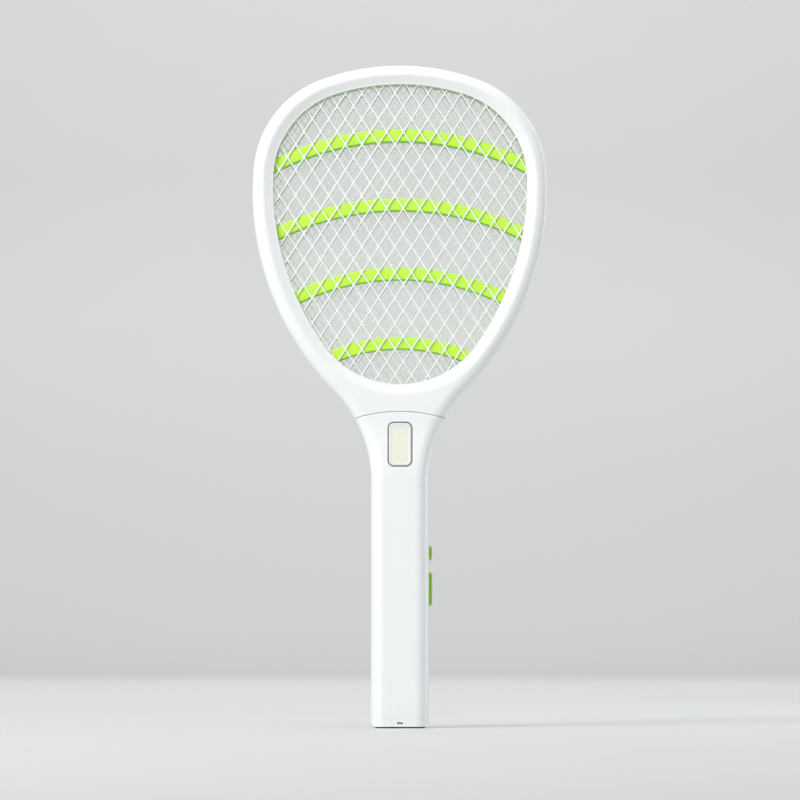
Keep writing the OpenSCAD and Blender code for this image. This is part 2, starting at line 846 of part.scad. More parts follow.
// A button head with rounded ends that stands out of the side wall
module button_head(z, length, w, x0, x1) {
    translate([x0, 0, z]) rotate([90, 0, 90])
        linear_extrude(x1 - x0) polygon(rounded_outline(w, length, 1.6));
}

module zap_button() {
    color("yellowgreen") {
        button_head(button_z, button_l, control_w, flange_x + flange_t - eps, hw + control_out);
        block([flange_x, flange_x + flange_t], [-control_w / 2 - flange_out, control_w / 2 + flange_out],
            [button_z - button_l / 2 - flange_out, button_z + button_l / 2 + flange_out]);
        rod_x(0, button_z, stem_r, push_x + plunger_out + 0.1, flange_x + eps);
    }
}

module push_switch_body() {
    color("black") difference() {
        block([push_x - push_body.x, push_x], [-push_body.y / 2, board_y],
            [button_z - push_body.z / 2, button_z + push_body.z / 2]);
        rod_x(0, button_z, plunger_r + running, push_x - plunger_in - button_travel - 0.2, push_x + 1);
    }
}

module push_switch_plunger() {
    color("firebrick") rod_x(0, button_z, plunger_r, push_x - plunger_in, push_x + plunger_out);
}

// Sprung coil between the switch body and the button's flange
module button_spring() {
    turns = spring_turns;
    sides = 6;
    steps = 16 * turns;
    x0 = push_x + spring_wire + 0.05;
    pitch = (flange_x - spring_wire - 0.05 - x0) / turns;
    points = [for (i = [0 : steps], s = [0 : sides - 1])
        let (t = 360 * i / 16, u = 360 * s / sides, r = spring_r + spring_wire * cos(u))
        [x0 + pitch * i / 16 + spring_wire * sin(u), r * cos(t), button_z + r * sin(t)]];
    tube = [for (i = [0 : steps - 1], s = [0 : sides - 1])
        let (a = i * sides + s, b = i * sides + (s + 1) % sides) [a, a + sides, b + sides, b]];
    color("silver") polyhedron(points = points,
        faces = concat(tube, [[for (s = [0 : sides - 1]) s]],
            [[for (s = [sides - 1 : -1 : 0]) steps * sides + s]]), convexity = 10);
}

module mode_knob() {
    color("yellowgreen") difference() {
        union() {
            button_head(knob_z, knob_l, control_w - 1, hw + 0.15, hw + control_out - 0.1);
            block([inner_x - 1, hw + 0.2], [-knob_neck.x / 2, knob_neck.x / 2],
                [knob_z - knob_neck.y / 2, knob_z + knob_neck.y / 2]);
            block([inner_x - 0.4 - knob_block.x, inner_x - 0.4], [-knob_block.y / 2, knob_block.y / 2],
                [knob_z - knob_block.z / 2, knob_z + knob_block.z / 2]);
        }
        block([0, inner_x - 0.9], [-lever.x / 2 - running, lever.x / 2 + running],
            [knob_z - lever.y / 2 - running, knob_z + lever.y / 2 + running]);
    }
}

module slide_switch_body() {
    reach = lever.y / 2 + knob_travel + clear;
    color("silver") difference() {
        block([slide_x - slide_body.x, slide_x], [-slide_body.y / 2, board_y],
            [knob_z - slide_body.z / 2, knob_z + slide_body.z / 2]);
        block([slide_x - lever_in - clear, slide_x + 1],
            [-lever.x / 2 - 2 * running, lever.x / 2 + 2 * running],
            [knob_z - reach, knob_z + reach]);
    }
}

module slide_lever() {
    color("black") block([slide_x - lever_in, inner_x - 1], [-lever.x / 2, lever.x / 2],
        [knob_z - lever.y / 2, knob_z + lever.y / 2]);
}

// ---- Battery ---------------------------------------------------------------------------------------------

module battery_cell() {
    color("royalblue") translate([0, 0, cell_z]) cylinder(r = cell_r, h = cell_l, $fn = fine);
}

module battery_tabs() {
    color("silver") for (z = [cell_z - 0.3, cell_z + cell_l])
        translate([0, 0, z]) cylinder(r = 4, h = 0.3, $fn = fine);
}

// A half-round trough on a foot that stands on the rear shell
module battery_cradle() {
    color("white") {
        difference() {
            translate([0, 0, cell_z + 4]) cylinder(r = cell_r + clear + 1.4, h = cell_l - 8, $fn = fine);
            translate([0, 0, cell_z]) cylinder(r = cell_r + clear, h = cell_l, $fn = fine);
            block([-hw, hw], [-ht, 2], [cell_z, cell_z + cell_l]);
        }
        block([-5, 5], [cell_r + clear + 0.6, ht - wall], [cell_z + 8, cell_z + cell_l - 8]);
    }
}

// ---- Leads -----------------------------------------------------------------------------------------------

lead_y = board_y - lead_r;
cell_top = cell_z + cell_l;

module battery_leads() {
    color("crimson") {
        wire([[3, 0, cell_top + 0.3 + lead_r], [2.5, -3, cell_top + 2.8], [1, -1, board_z + 3],
            [0, lead_y, board_z + 6]], lead_r);
        wire([[-3, 0, cell_z - 0.3 - lead_r], [-10.5, -1, cell_z - 2], [-11.3, -1, cell_z + 4],
            [-11.3, -1, cell_top + 1], [-7, 0, board_z + 3], [-5, lead_y, board_z + 5]], lead_r);
    }
}

module port_leads() {
    color("crimson") for (p = [[10.1, 1.2, 5.2], [11.9, -0.6, 8.2]])
        wire([[p.z, port.y / 2 - lead_r - 0.05, foot_out + end_wall + 6], [p.x, p.y, cell_z - 2],
            [p.x, p.y, cell_z + 8], [p.x, p.y, cell_top + 1.5], [p.x - 5, p.y, board_z + 4],
            [p.x - 6, lead_y, board_z + 9]], lead_r);
}

module lamp_leads() {
    color("crimson") for (x = [-4, -2.4])
        wire([[x, lead_y, board_z + board_l - 3], [x, 0, board_z + board_l + 4],
            [x, -lamp_board_y + lead_r, lamp_z - 11]], lead_r);
}

module electrode_lead() {
    color("crimson") wire([[6.5, lead_y, board_z + board_l - 12], [6.5, 1, board_z + board_l],
        [terminal_x, 0, lamp_z], [terminal_x, 0, terminal_low - terminal_t]], lead_r);
}

module guard_lead() {
    color("black") wire([[-8, lead_y, board_z + board_l - 6], [-9, 1, board_z + board_l + 4],
        [-terminal_x, 2, lamp_z], [-terminal_x, 2, terminal_low - terminal_t]], lead_r);
}

head_front_frame();
head_rear_frame();
guard_mesh_front();
guard_mesh_rear();
electrode_mesh();
spacer_front();
spacer_rear();
head_screws();
guard_terminal();
electrode_terminal();
handle_front_shell();
handle_rear_shell();
handle_screws();
foot_pad();
strap_pin();
lamp_bezel();
lamp_lens();
lamp_board();
lamp_leds();
circuit_board();
board_screws();
transformer_core();
transformer_winding();
hv_capacitor();
multiplier_capacitors();
diodes();
bleed_resistors();
switching_transistor();
charge_controller();
charging_port();
port_board();
indicator_led();
light_pipe();
zap_button();
push_switch_body();
push_switch_plunger();
button_spring();
mode_knob();
slide_switch_body();
slide_lever();
battery_cell();
battery_tabs();
battery_cradle();
battery_leads();
lamp_leads();
electrode_lead();
guard_lead();
port_leads();
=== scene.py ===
# %% [markdown]
# # Electric fly swatter
#
# The engineering model is the fixed frame, and everything here is built round it: smooth skins for the
# head and the handle, the three grids, the lime spacers, the lamp, the controls and every finish.
# Lengths in the building code are millimetres, and they become metres when a mesh is made.

import json
import math

import bmesh
import bpy
import numpy as np
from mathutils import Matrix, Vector


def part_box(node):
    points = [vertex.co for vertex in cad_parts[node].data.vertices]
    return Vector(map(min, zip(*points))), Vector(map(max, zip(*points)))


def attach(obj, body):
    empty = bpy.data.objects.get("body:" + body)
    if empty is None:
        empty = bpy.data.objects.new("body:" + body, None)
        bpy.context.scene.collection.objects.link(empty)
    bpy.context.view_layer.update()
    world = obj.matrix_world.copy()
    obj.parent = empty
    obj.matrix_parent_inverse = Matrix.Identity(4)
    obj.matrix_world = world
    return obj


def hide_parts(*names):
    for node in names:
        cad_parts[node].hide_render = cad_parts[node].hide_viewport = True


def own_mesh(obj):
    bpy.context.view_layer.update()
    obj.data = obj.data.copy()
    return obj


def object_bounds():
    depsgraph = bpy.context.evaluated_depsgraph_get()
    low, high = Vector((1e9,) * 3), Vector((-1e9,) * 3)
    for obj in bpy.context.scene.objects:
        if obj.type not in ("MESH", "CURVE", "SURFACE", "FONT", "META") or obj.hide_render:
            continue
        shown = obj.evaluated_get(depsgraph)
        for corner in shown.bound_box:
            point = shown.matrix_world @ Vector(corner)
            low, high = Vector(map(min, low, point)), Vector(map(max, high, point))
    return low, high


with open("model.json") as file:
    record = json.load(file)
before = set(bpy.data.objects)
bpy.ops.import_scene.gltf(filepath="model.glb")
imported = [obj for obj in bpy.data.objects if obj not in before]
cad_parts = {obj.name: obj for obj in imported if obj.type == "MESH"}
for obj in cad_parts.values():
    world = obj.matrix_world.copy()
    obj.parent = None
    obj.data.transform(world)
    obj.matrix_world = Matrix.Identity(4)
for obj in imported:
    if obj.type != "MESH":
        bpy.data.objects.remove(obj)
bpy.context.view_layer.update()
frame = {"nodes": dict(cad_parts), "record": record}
MM = 0.001

# %% [markdown]
# ## Camera
#
# A product this tall and slim is taken from well back with a long lens, so that its sides stay parallel.
# The camera stands low, a little above the table, and looks up to the middle of the racket. An empty
# target with a constraint would also aim it, but a plain rotation keeps the scene free of extra parts.

# %% Camera
CAM_BACK, CAM_HEIGHT = 3.2, 0.07
AIM = Vector((0.0, 0.0, 0.2370))
camera = bpy.data.objects.new("camera", bpy.data.cameras.new("camera"))
bpy.context.scene.collection.objects.link(camera)
camera.location = (0.0, -CAM_BACK, CAM_HEIGHT)
camera.rotation_mode = "QUATERNION"
camera.rotation_quaternion = (AIM - camera.location).to_track_quat("-Z", "Y")
camera.data.sensor_width = 36.0
camera.data.lens = 198.96
bpy.context.scene.camera = camera
bpy.context.scene.view_settings.view_transform = "Standard"
print("camera:", round((AIM - camera.location).length, 3), "m from its target")

# %% [markdown]
# ## Node maths written as Python
#
# A material is a tree of nodes, and joining a dozen Math nodes by hand hides what they compute. The
# class below wraps one output socket and gives it Python's operators, so `1 - wear * 0.4` adds the
# Math nodes it needs. Colours and vectors don't go through it: they have Mix and Vector Math.

# %% A socket that can be calculated with
class Value:
    def __init__(self, finish, socket):
        self.finish, self.socket = finish, socket

    def sum_with(self, other, operation, turned=False):
        pair = (other, self) if turned else (self, other)
        return self.finish.node("Math", {"operation": operation}, {0: pair[0], 1: pair[1]})

    def __add__(self, other):
        return self.sum_with(other, "ADD")

    __radd__ = __add__

    def __mul__(self, other):
        return self.sum_with(other, "MULTIPLY")

    __rmul__ = __mul__

    def __sub__(self, other):
        return self.sum_with(other, "SUBTRACT")

    def __rsub__(self, other):
        return self.sum_with(other, "SUBTRACT", turned=True)

    def __truediv__(self, other):
        return self.sum_with(other, "DIVIDE")


# %% [markdown]
# ## A finish
#
# Every finish on the swatter starts from the same Principled shader. What is the same all over is set
# on the shader itself; what varies, such as a moulding grain or a faint mottle, is made of nodes.
# One method makes any node: its type, its settings, and then what goes into its sockets.

# %% One finish and its nodes
class Finish:
    made = {}

    def __init__(self, name, colour, rough, **constants):
        self.material = bpy.data.materials.new(name)
        self.material.use_nodes = True
        self.material.diffuse_color = (*colour, 1)
        self.tree = self.material.node_tree
        self.shader = self.tree.nodes["Principled BSDF"]
        self.colour, self.rough = colour, rough
        self.set("Base Color", (*colour, 1))
        self.set("Roughness", rough)
        for key, value in constants.items():
            self.set(key.replace("_", " "), value)
        self.place = self.node("TexCoord", output="Object")
        Finish.made[name] = self

    def put(self, socket, value):
        if isinstance(value, Value):
            self.tree.links.new(value.socket, socket)
        else:
            socket.default_value = value

    def set(self, socket, value):
        self.put(self.shader.inputs[socket], value)

    def node(self, kind, settings=None, sockets=None, output=0):
        made = self.tree.nodes.new("ShaderNode" + kind)
        for key, value in (settings or {}).items():
            setattr(made, key, value)
        for key, value in (sockets or {}).items():
            self.put(made.inputs[key], value)
        return Value(self, made.outputs[output])

    def noise(self, scale, detail=2.0, place=None):
        return self.node("TexNoise", {}, {"Vector": place or self.place, "Scale": scale, "Detail": detail})

    def ramp(self, value, low, high):
        """0 below low and 1 above high."""
        return self.node("MapRange", {}, {0: value, 1: low, 2: high})

    def mix(self, share, a, b):
        return self.node("Mix", {"data_type": "RGBA"}, {0: share, 6: a, 7: b}, output=2)

    def mottle(self, share, dark=0.9, scale=60.0):
        """The colour drifts a little towards a darker tone over a few centimetres."""
        tone = self.noise(scale, 3.0)
        other = [c * dark for c in self.colour]
        self.set("Base Color", self.mix(tone * share, (*self.colour, 1), (*other, 1)))

    def uneven(self, spread, scale=180.0):
        """The gloss drifts either side of the finish's own roughness."""
        self.set("Roughness", self.noise(scale, 4.0) * (2 * spread) + (self.rough - spread))

    def grain(self, height, depth_mm, strength=0.3):
        self.set("Normal", self.node("Bump", {}, {
            "Strength": strength, "Distance": depth_mm * MM, "Height": height}, output="Normal"))


def striped(finish, axis, pitch_mm):
    """0 to 1 to 0 along an axis, once every pitch."""
    along = finish.node("SeparateXYZ", {}, {0: finish.place}, output=axis)
    turn = along * (2 * math.pi / (pitch_mm * MM))
    return finish.node("Math", {"operation": "SINE"}, {0: turn}) * 0.5 + 0.5


# %% [markdown]
# ## White plastic
#
# The head and the handle are moulded in white ABS. Its skin is satin, with the very fine spark-eroded
# grain of the mould, and its gloss drifts where the plastic cooled unevenly. A texture image would
# repeat; two noises, one fine for the grain and one coarse for the gloss, do not.

# %% White plastic
shell_white = Finish("white_shell", (0.86, 0.875, 0.87), 0.34, Specular_IOR_Level=0.5, Coat_Roughness=0.18)
shell_white.mottle(0.5, 0.975, 25)
shell_white.uneven(0.05, 90)
shell_white.set("Coat Weight", shell_white.noise(40, 2.0) * 0.1 + 0.12)
shell_white.grain(shell_white.noise(2600, 4.0) * 0.7 + shell_white.noise(700, 2.0) * 0.3, 0.02, 0.35)
print("white plastic:", len(shell_white.tree.nodes), "nodes")

# %% [markdown]
# ## The grids
#
# Both guard grids are expanded metal under a baked white coat, so the coat pools slightly and shows an
# orange-peel surface. The live grid between them is bare metal, rolled and slightly dull. Metal gets its
# look from reflections, so its roughness carries the drawing lines.

# %% Grid finishes
coat = Finish("white_coat", (0.88, 0.885, 0.9), 0.38, Specular_IOR_Level=0.5)
coat.mottle(0.6, 0.95, 120)
coat.uneven(0.06, 400)
coat.grain(coat.noise(1500, 2.0), 0.03, 0.3)

bare_metal = Finish("live_grid", (0.90, 0.905, 0.91), 0.36)
bare_metal.set("Metallic", bare_metal.ramp(bare_metal.noise(300, 2.0), 0.2, 0.5) * 0.15 + 0.3)
bare_metal.mottle(0.8, 0.86, 200)
bare_metal.uneven(0.1, 900)
bare_metal.grain(bare_metal.noise(2200, 3.0), 0.01, 0.25)

# %% [markdown]
# ## Lime and green plastic
#
# The spacers are a bright yellow-green plastic, in which light gets into the pigment and comes out again;
# the controls are a deeper green. Subsurface scattering would show that, but it is slow and a thin bar
# hardly shows it. The underside of each bar, which faces down, is painted a darker green: painted shade.

# %% Green finishes
lime = Finish("lime_spacer", (0.56, 0.93, 0.075), 0.42, Specular_IOR_Level=0.45)
faces = lime.node("NewGeometry", output="Normal")
# Painted shade: faces that point down are mixed towards a darker green.
painted_underside_shade = lime.ramp(lime.node("SeparateXYZ", {}, {0: faces}, output="Z") * -1, 0.15, 0.75)
flow = lime.noise(70, 3.0) * 0.35
lime_face = lime.mix(flow, (0.56, 0.93, 0.075, 1), (0.49, 0.86, 0.055, 1))
lime.set("Base Color", lime.mix(painted_underside_shade, lime_face, (0.21, 0.66, 0.012, 1)))
lime.uneven(0.06, 160)
lime.grain(lime.noise(1900, 3.0), 0.02, 0.3)

key_green = Finish("green_control", (0.27, 0.56, 0.006), 0.3, Specular_IOR_Level=0.5, Coat_Roughness=0.12)
key_green.mottle(0.6, 0.86, 90)
key_green.uneven(0.05, 260)
key_green.set("Coat Weight", key_green.noise(120, 2.0) * 0.2 + 0.1)
key_green.grain(key_green.noise(2400, 3.0), 0.015, 0.3)

# %% [markdown]
# ## Lamp
#
# The lamp's window is a frosted, slightly cream diffuser over a phosphor-yellow board, with a soft dark
# gasket round it. The cream is strongest in the middle, where the board shows through, and the frosting
# is greyer near the edge, so the colour is mixed by the distance from the window's middle.

# %% Lamp finishes
lens_low, lens_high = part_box("lamp_lens")
lens_mid = (lens_low + lens_high) / 2
lens_half = (lens_high - lens_low) / 2
diffuser = Finish("lamp_diffuser", (0.80, 0.82, 0.70), 0.33, Specular_IOR_Level=0.5, Coat_Roughness=0.1)
from_mid = diffuser.node("VectorMath", {"operation": "SUBTRACT"}, {0: diffuser.place, 1: lens_mid})
across = diffuser.node("SeparateXYZ", {}, {0: from_mid}, output="X") / lens_half.x
up = diffuser.node("SeparateXYZ", {}, {0: from_mid}, output="Z") / lens_half.z
rim_share = diffuser.ramp(across * across * across * across + up * up * up * up * up * up, 0.15, 0.8)
cream = diffuser.mix(diffuser.noise(50, 2.0), (0.80, 0.815, 0.66, 1), (0.81, 0.82, 0.72, 1))
# Painted shade: the upper part of the window is mixed towards a greyer tone.
painted_top_shade = diffuser.ramp(up, 0.45, 1.0) * 0.6
cream = diffuser.mix(painted_top_shade, cream, (0.76, 0.77, 0.735, 1))
diffuser.set("Base Color", diffuser.mix(rim_share, cream, (0.76, 0.78, 0.77, 1)))
diffuser.set("Coat Weight", diffuser.noise(60, 1.0) * 0.15 + 0.2)
diffuser.uneven(0.05, 500)
diffuser.grain(diffuser.noise(1800, 2.0), 0.02, 0.25)

gasket = Finish("lamp_gasket", (0.21, 0.212, 0.208), 0.55)
gasket.mottle(0.8, 0.7, 300)
gasket.uneven(0.06, 500)
gasket.grain(gasket.noise(2500, 3.0), 0.02, 0.4)

# The foot pad's black is painted shadow: it draws the dark line under the handle's foot.
painted_shadow_black = Finish("foot_rubber", (0.045, 0.047, 0.042), 0.72)
painted_shadow_black.mottle(0.8, 1.5, 200)
painted_shadow_black.uneven(0.08, 300)
painted_shadow_black.grain(painted_shadow_black.noise(1600, 4.0) + striped(painted_shadow_black, "X", 1.4) * 0.6, 0.08, 0.5)

# %% [markdown]
# ## Small metal parts
#
# Screws, springs, the socket and the terminals are plated or bare metal. Turned heads show fine rings
# and drawn wire shows lines, which are too small for geometry, so they are stretched noise in the bump.

# %% Metal finishes
def metal(name, colour, rough, stretch, dark=0.75):
    made = Finish(name, colour, rough, Metallic=1.0)
    drawn = made.node("VectorMath", {"operation": "MULTIPLY"}, {0: made.place, 1: stretch})
    lines = made.noise(1500, 3.0, drawn)
    made.set("Base Color", made.mix(lines * 0.5, (*colour, 1), (*[c * dark for c in colour], 1)))
    made.uneven(0.08, 700)
    made.grain(lines, 0.01, 0.3)
    return made


screw_zinc = metal("screw_steel", (0.62, 0.63, 0.66), 0.3, (1, 0.2, 1))
brass = metal("terminal_brass", (0.78, 0.60, 0.28), 0.3, (0.3, 1, 1))
nickel = metal("nickel_plate", (0.70, 0.68, 0.64), 0.25, (1, 1, 0.2))
wire_steel = metal("spring_steel", (0.60, 0.60, 0.62), 0.28, (0.3, 1, 1), 0.6)

# %% [markdown]
# ## Inside the handle
#
# The electronics are hidden in use but are all there: a green board, a ferrite transformer under yellow
# tape, dipped capacitors, a wrapped cell and insulated leads. Each gets the surface that tells it apart.

# %% Finishes of the electronics
def moulded(name, colour, rough, scale=200.0, dark=0.8, fine=1800.0, depth=0.02):
    made = Finish(name, colour, rough)
    made.mottle(0.7, dark, scale)
    made.uneven(min(0.08, rough / 3), scale * 2)
    made.grain(made.noise(fine, 3.0), depth, 0.35)
    return made


board_green = Finish("board_green", (0.012, 0.17, 0.06), 0.3, Coat_Roughness=0.1)
cells = board_green.node("TexVoronoi", {"feature": "F1", "distance": "MANHATTAN"},
                         {"Vector": board_green.place, "Scale": 420.0})
tracks = board_green.ramp(board_green.node("TexVoronoi", {"feature": "DISTANCE_TO_EDGE"},
                                           {"Vector": board_green.place, "Scale": 300.0}), 0.08, 0.12)
pads = board_green.ramp(cells, 0.22, 0.16)
board_tone = board_green.mix(tracks, (0.025, 0.27, 0.10, 1), (0.012, 0.17, 0.06, 1))
board_green.set("Base Color", board_green.mix(pads * 0.8, board_tone, (0.55, 0.53, 0.45, 1)))
board_green.set("Coat Weight", board_green.noise(60, 1.0) * 0.2 + 0.3)
board_green.uneven(0.06)
board_green.grain(tracks * -1, 0.05, 0.4)

tape = Finish("coil_tape", (0.80, 0.52, 0.03), 0.35)
tape.mottle(0.8, 0.8, 150)
tape.uneven(0.06, 300)
tape.grain(striped(tape, "Z", 0.9), 0.05, 0.5)

wrap = Finish("cell_wrap", (0.02, 0.09, 0.45), 0.3, Coat_Roughness=0.08)
wrap.mottle(0.8, 0.75, 80)
wrap.uneven(0.05, 120)
wrap.set("Coat Weight", wrap.noise(50, 1.0) * 0.2 + 0.4)
wrap.grain(wrap.noise(160, 2.0), 0.1, 0.3)

board_white = moulded("lamp_board_white", (0.86, 0.86, 0.84), 0.35, 260, 0.92)
phosphor = moulded("led_phosphor", (0.90, 0.72, 0.16), 0.3, 900, 0.85)
ferrite = moulded("ferrite", (0.045, 0.045, 0.05), 0.6, 500, 0.7, 1200, 0.05)
film_red = moulded("film_capacitor", (0.38, 0.025, 0.015), 0.22, 150, 0.75, 300, 0.1)
disc_blue = moulded("disc_ceramic", (0.04, 0.12, 0.42), 0.3, 220, 0.75, 350, 0.1)
epoxy_black = moulded("black_epoxy", (0.018, 0.018, 0.019), 0.5, 300, 1.7, 1600, 0.04)
resistor_tan = moulded("resistor_tan", (0.55, 0.38, 0.20), 0.3, 400, 0.8, 500, 0.06)
light_guide = moulded("light_guide", (0.36, 0.37, 0.37), 0.25, 400, 0.85)
plunger_red = moulded("plunger_red", (0.45, 0.03, 0.02), 0.4)
cradle_white = moulded("cradle_white", (0.80, 0.80, 0.77), 0.45, 60, 0.94)
lead_red = moulded("lead_red", (0.50, 0.012, 0.01), 0.38, 250, 0.8, 900, 0.04)
lead_black = moulded("lead_black", (0.015, 0.015, 0.016), 0.38, 250, 1.8, 900, 0.04)
print("finishes:", len(Finish.made))

# %% [markdown]
# ## Dressing the carried-over parts
#
# A part of the engineering model whose shape is right stays as it is and only takes a better finish.
# The record says which material slot each node has, and the finishes above carry the slots' names.

# %% Give every node its finish
SLOT_OF = {part["node"]: part["material_slot"] for part in frame["record"]["subparts"]}
for node, part in frame["nodes"].items():
    part.data.materials.clear()
    part.data.materials.append(Finish.made[SLOT_OF[node]].material)
print("dressed:", len(SLOT_OF), "nodes")

# %% [markdown]
# ## The outline as a chain of arcs
#
# Seen from the front, the racket is a chain of circular arcs that flow into each other: top, shoulder,
# flank, and the hollow neck. The opening is another such chain. Bezier curves could be fitted by eye,
# but with arcs the distance from any point to the edge is exact, and the rounded edges are built on it.

# %% Arcs of the outline and of the opening
(_, _, _), (HEAD_X, _, TOP_Z) = [[c / MM for c in corner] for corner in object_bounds()]
PAD_MARGIN = 3.0
HANDLE_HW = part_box("foot_pad")[1].x / MM + PAD_MARGIN
HEAD_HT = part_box("head_rear_frame")[1].y / MM
HANDLE_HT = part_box("handle_rear_shell")[1].y / MM


def heading(v):
    return math.atan2(v[1], v[0])


def meet(a, ra, b, rb):
    """The right-hand crossing of two circles."""
    d = math.dist(a, b)
    ux, uz = (b[0] - a[0]) / d, (b[1] - a[1]) / d
    t = (ra * ra - rb * rb + d * d) / (2 * d)
    s = math.sqrt(ra * ra - t * t)
    return max([(a[0] + ux * t - uz * k, a[1] + uz * t + ux * k) for k in (s, -s)])


def away(a, b):
    return (b[0] - a[0], b[1] - a[1])


TOP_R, SHOULDER_R, FLANK_R, NECK_R = 165.0, 75.0, 206.0, 93.0
top_c = (0.0, TOP_Z - TOP_R)
flank_c = (HEAD_X - FLANK_R, TOP_Z - 92.0)
shoulder_c = meet(top_c, TOP_R - SHOULDER_R, flank_c, FLANK_R - SHOULDER_R)
neck_x = HANDLE_HW + NECK_R
neck_c = (neck_x, flank_c[1] - math.sqrt((FLANK_R + NECK_R) ** 2 - (neck_x - flank_c[0]) ** 2))
a_top, a_flank = heading(away(top_c, shoulder_c)), heading(away(flank_c, shoulder_c))
a_neck = heading(away(flank_c, neck_c))
# Each arc: centre, radius, first and last angle, 1 where the outline bulges and -1 where it is hollow
BODY = [
    (top_c, TOP_R, math.pi / 2, a_top, 1),
    (shoulder_c, SHOULDER_R, a_top, a_flank, 1),
    (flank_c, FLANK_R, a_flank, a_neck, 1),
    (neck_c, NECK_R, a_neck + math.pi, math.pi, -1),
]

OPEN_TOP, OPEN_H, OPEN_DROP, OPEN_HW = TOP_Z - 14.0, 218.0, 74.0, HEAD_X - 15.0
OPEN_TOP_R, OPEN_SHOULDER_R, OPEN_LOW_R = 155.0, 65.0, 68.0
open_top_c = (0.0, OPEN_TOP - OPEN_TOP_R)
open_low_c = (0.0, OPEN_TOP - OPEN_H + OPEN_LOW_R)
open_rise = OPEN_TOP - OPEN_DROP - open_low_c[1]
OPEN_FLANK_R = (OPEN_HW ** 2 + open_rise ** 2 - OPEN_LOW_R ** 2) / (2 * (OPEN_HW - OPEN_LOW_R))
open_flank_c = (OPEN_HW - OPEN_FLANK_R, OPEN_TOP - OPEN_DROP)
open_shoulder_c = meet(open_top_c, OPEN_TOP_R - OPEN_SHOULDER_R, open_flank_c, OPEN_FLANK_R - OPEN_SHOULDER_R)
b_top = heading(away(open_top_c, open_shoulder_c))
b_flank = heading(away(open_flank_c, open_shoulder_c))
b_low = heading(away(open_flank_c, open_low_c))
OPENING = [
    (open_top_c, OPEN_TOP_R, math.pi / 2, b_top, 1),
    (open_shoulder_c, OPEN_SHOULDER_R, b_top, b_flank, 1),
    (open_flank_c, OPEN_FLANK_R, b_flank, b_low, 1),
    (open_low_c, OPEN_LOW_R, b_low, -math.pi / 2, 1),
]
print("neck ends at", round(neck_c[1], 1), "mm, opening",
      round(open_low_c[1] - OPEN_LOW_R, 1), "to", OPEN_TOP)

# %% [markdown]
# ## Distance to the edge
#
# Everything about the moulded skin depends on how far a point is from the edge: the rounded flank rises
# within 9.5 mm of the outline, and the slope falls within 7 mm of the opening. A softened minimum of the
# two heights leaves the small radius that a real mould has along the ridge, with no bevel to compute.

# %% Heights of the skin
EDGE_R, EDGE_FLAT, LIP, SLOPE_W, LIP_W = 9.5, 4.0, 9.2, 7.0, 0.9
SEAM_Z = open_low_c[1] - OPEN_LOW_R - 20.0
SEAM_R, SEAM_GAP = 110.0, 0.3
SEAM_C = (0.0, SEAM_Z - SEAM_R)


def inside(arcs, x, z):
    """How far each point lies inside a chain of arcs; negative outside."""
    x, best = np.abs(x), np.full(np.shape(x), np.inf)
    for (cx, cz), r, first, last, bulge in arcs:
        low, high = min(first, last) - 1e-6, max(first, last) + 1e-6
        turn = np.arctan2(z - cz, x - cx)
        turn = np.where(turn < low, turn + 2 * math.pi, turn)
        d = bulge * (r - np.hypot(x - cx, z - cz))
        best = np.where((turn <= high) & (np.abs(d) < np.abs(best)), d, best)
    return best


def from_outline(x, z):
    straight = HANDLE_HW - np.abs(x)
    return np.where(z > neck_c[1], inside(BODY, x, z), straight)


def half_t(z):
    """Half the thickness: the handle is deeper than the head and swells between the two."""
    t = np.clip((SEAM_Z - 6 - z) / (SEAM_Z - 6 - neck_c[1]), 0, 1)
    return HEAD_HT + (HANDLE_HT - HEAD_HT) * t * t * (3 - 2 * t)


def skin(x, z):
    d = np.clip(from_outline(x, z), 0, EDGE_R)
    return EDGE_FLAT + (half_t(z) - EDGE_FLAT) * np.sqrt(np.clip(1 - (1 - d / EDGE_R) ** 2, 0, 1))


def soft_min(a, b, blend):
    h = np.clip(0.5 + 0.5 * (b - a) / blend, 0, 1)
    return b + (a - b) * h - blend * h * (1 - h)


def fillet(gap, r):
    """How far a rounded edge of radius r drops at this distance from it."""
    g = np.clip(gap, 0, r)
    return r - np.sqrt(np.clip(r * r - (r - g) ** 2, 0, None))


def rim(x, z):
    w = -inside(OPENING, x, z)
    slope = LIP + (HEAD_HT - LIP) * np.clip((w - LIP_W) / (SLOPE_W - LIP_W), 0, 3)
    high = soft_min(skin(x, z), slope, 0.7)
    from_seam = np.hypot(x - SEAM_C[0], z - SEAM_C[1]) - SEAM_R - SEAM_GAP
    return high - fillet(from_seam, 0.35) - fillet(w, 0.3)


# %% [markdown]
# ## Making a mesh
#
# Nearly every smooth piece here is a sheet of quads: rows of points, each joined to the next. The
# helper takes the points as one array, closes the sheet in either direction where asked, and finishes
# the object: millimetres to metres, smooth shading with sharp edges kept, a body, a slot, a finish.

# %% Sheets of quads
def grid_faces(rows, columns, closed_rows=False, closed_columns=False, start=0):
    i, j = np.meshgrid(np.arange(rows if closed_rows else rows - 1),
                       np.arange(columns if closed_columns else columns - 1), indexing="ij")
    a, b = i * columns + j, i * columns + (j + 1) % columns
    c, d = ((i + 1) % rows) * columns + (j + 1) % columns, ((i + 1) % rows) * columns + j
    return (np.stack([a, b, c, d], axis=-1).reshape(-1, 4) + start).tolist()


def finished(name, points, faces, slot, nodes, sharp=35, body="racket", weld=0.001):
    """A piece from points in millimetres. It stands for the nodes and takes the slot's finish."""
    mesh = bpy.data.meshes.new(name)
    mesh.from_pydata((np.asarray(points) * MM).tolist(), [], faces)
    work = bmesh.new()
    work.from_mesh(mesh)
    bmesh.ops.remove_doubles(work, verts=work.verts, dist=weld * MM)
    bmesh.ops.recalc_face_normals(work, faces=work.faces)
    work.to_mesh(mesh)
    work.free()
    piece = bpy.data.objects.new(name, mesh)
    bpy.context.scene.collection.objects.link(piece)
    shade(piece, sharp)
    if slot:
        mesh.materials.append(Finish.made[slot].material)
        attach(piece, body)
        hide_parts(*nodes)
        print(name, len(mesh.polygons), "faces")
    return piece


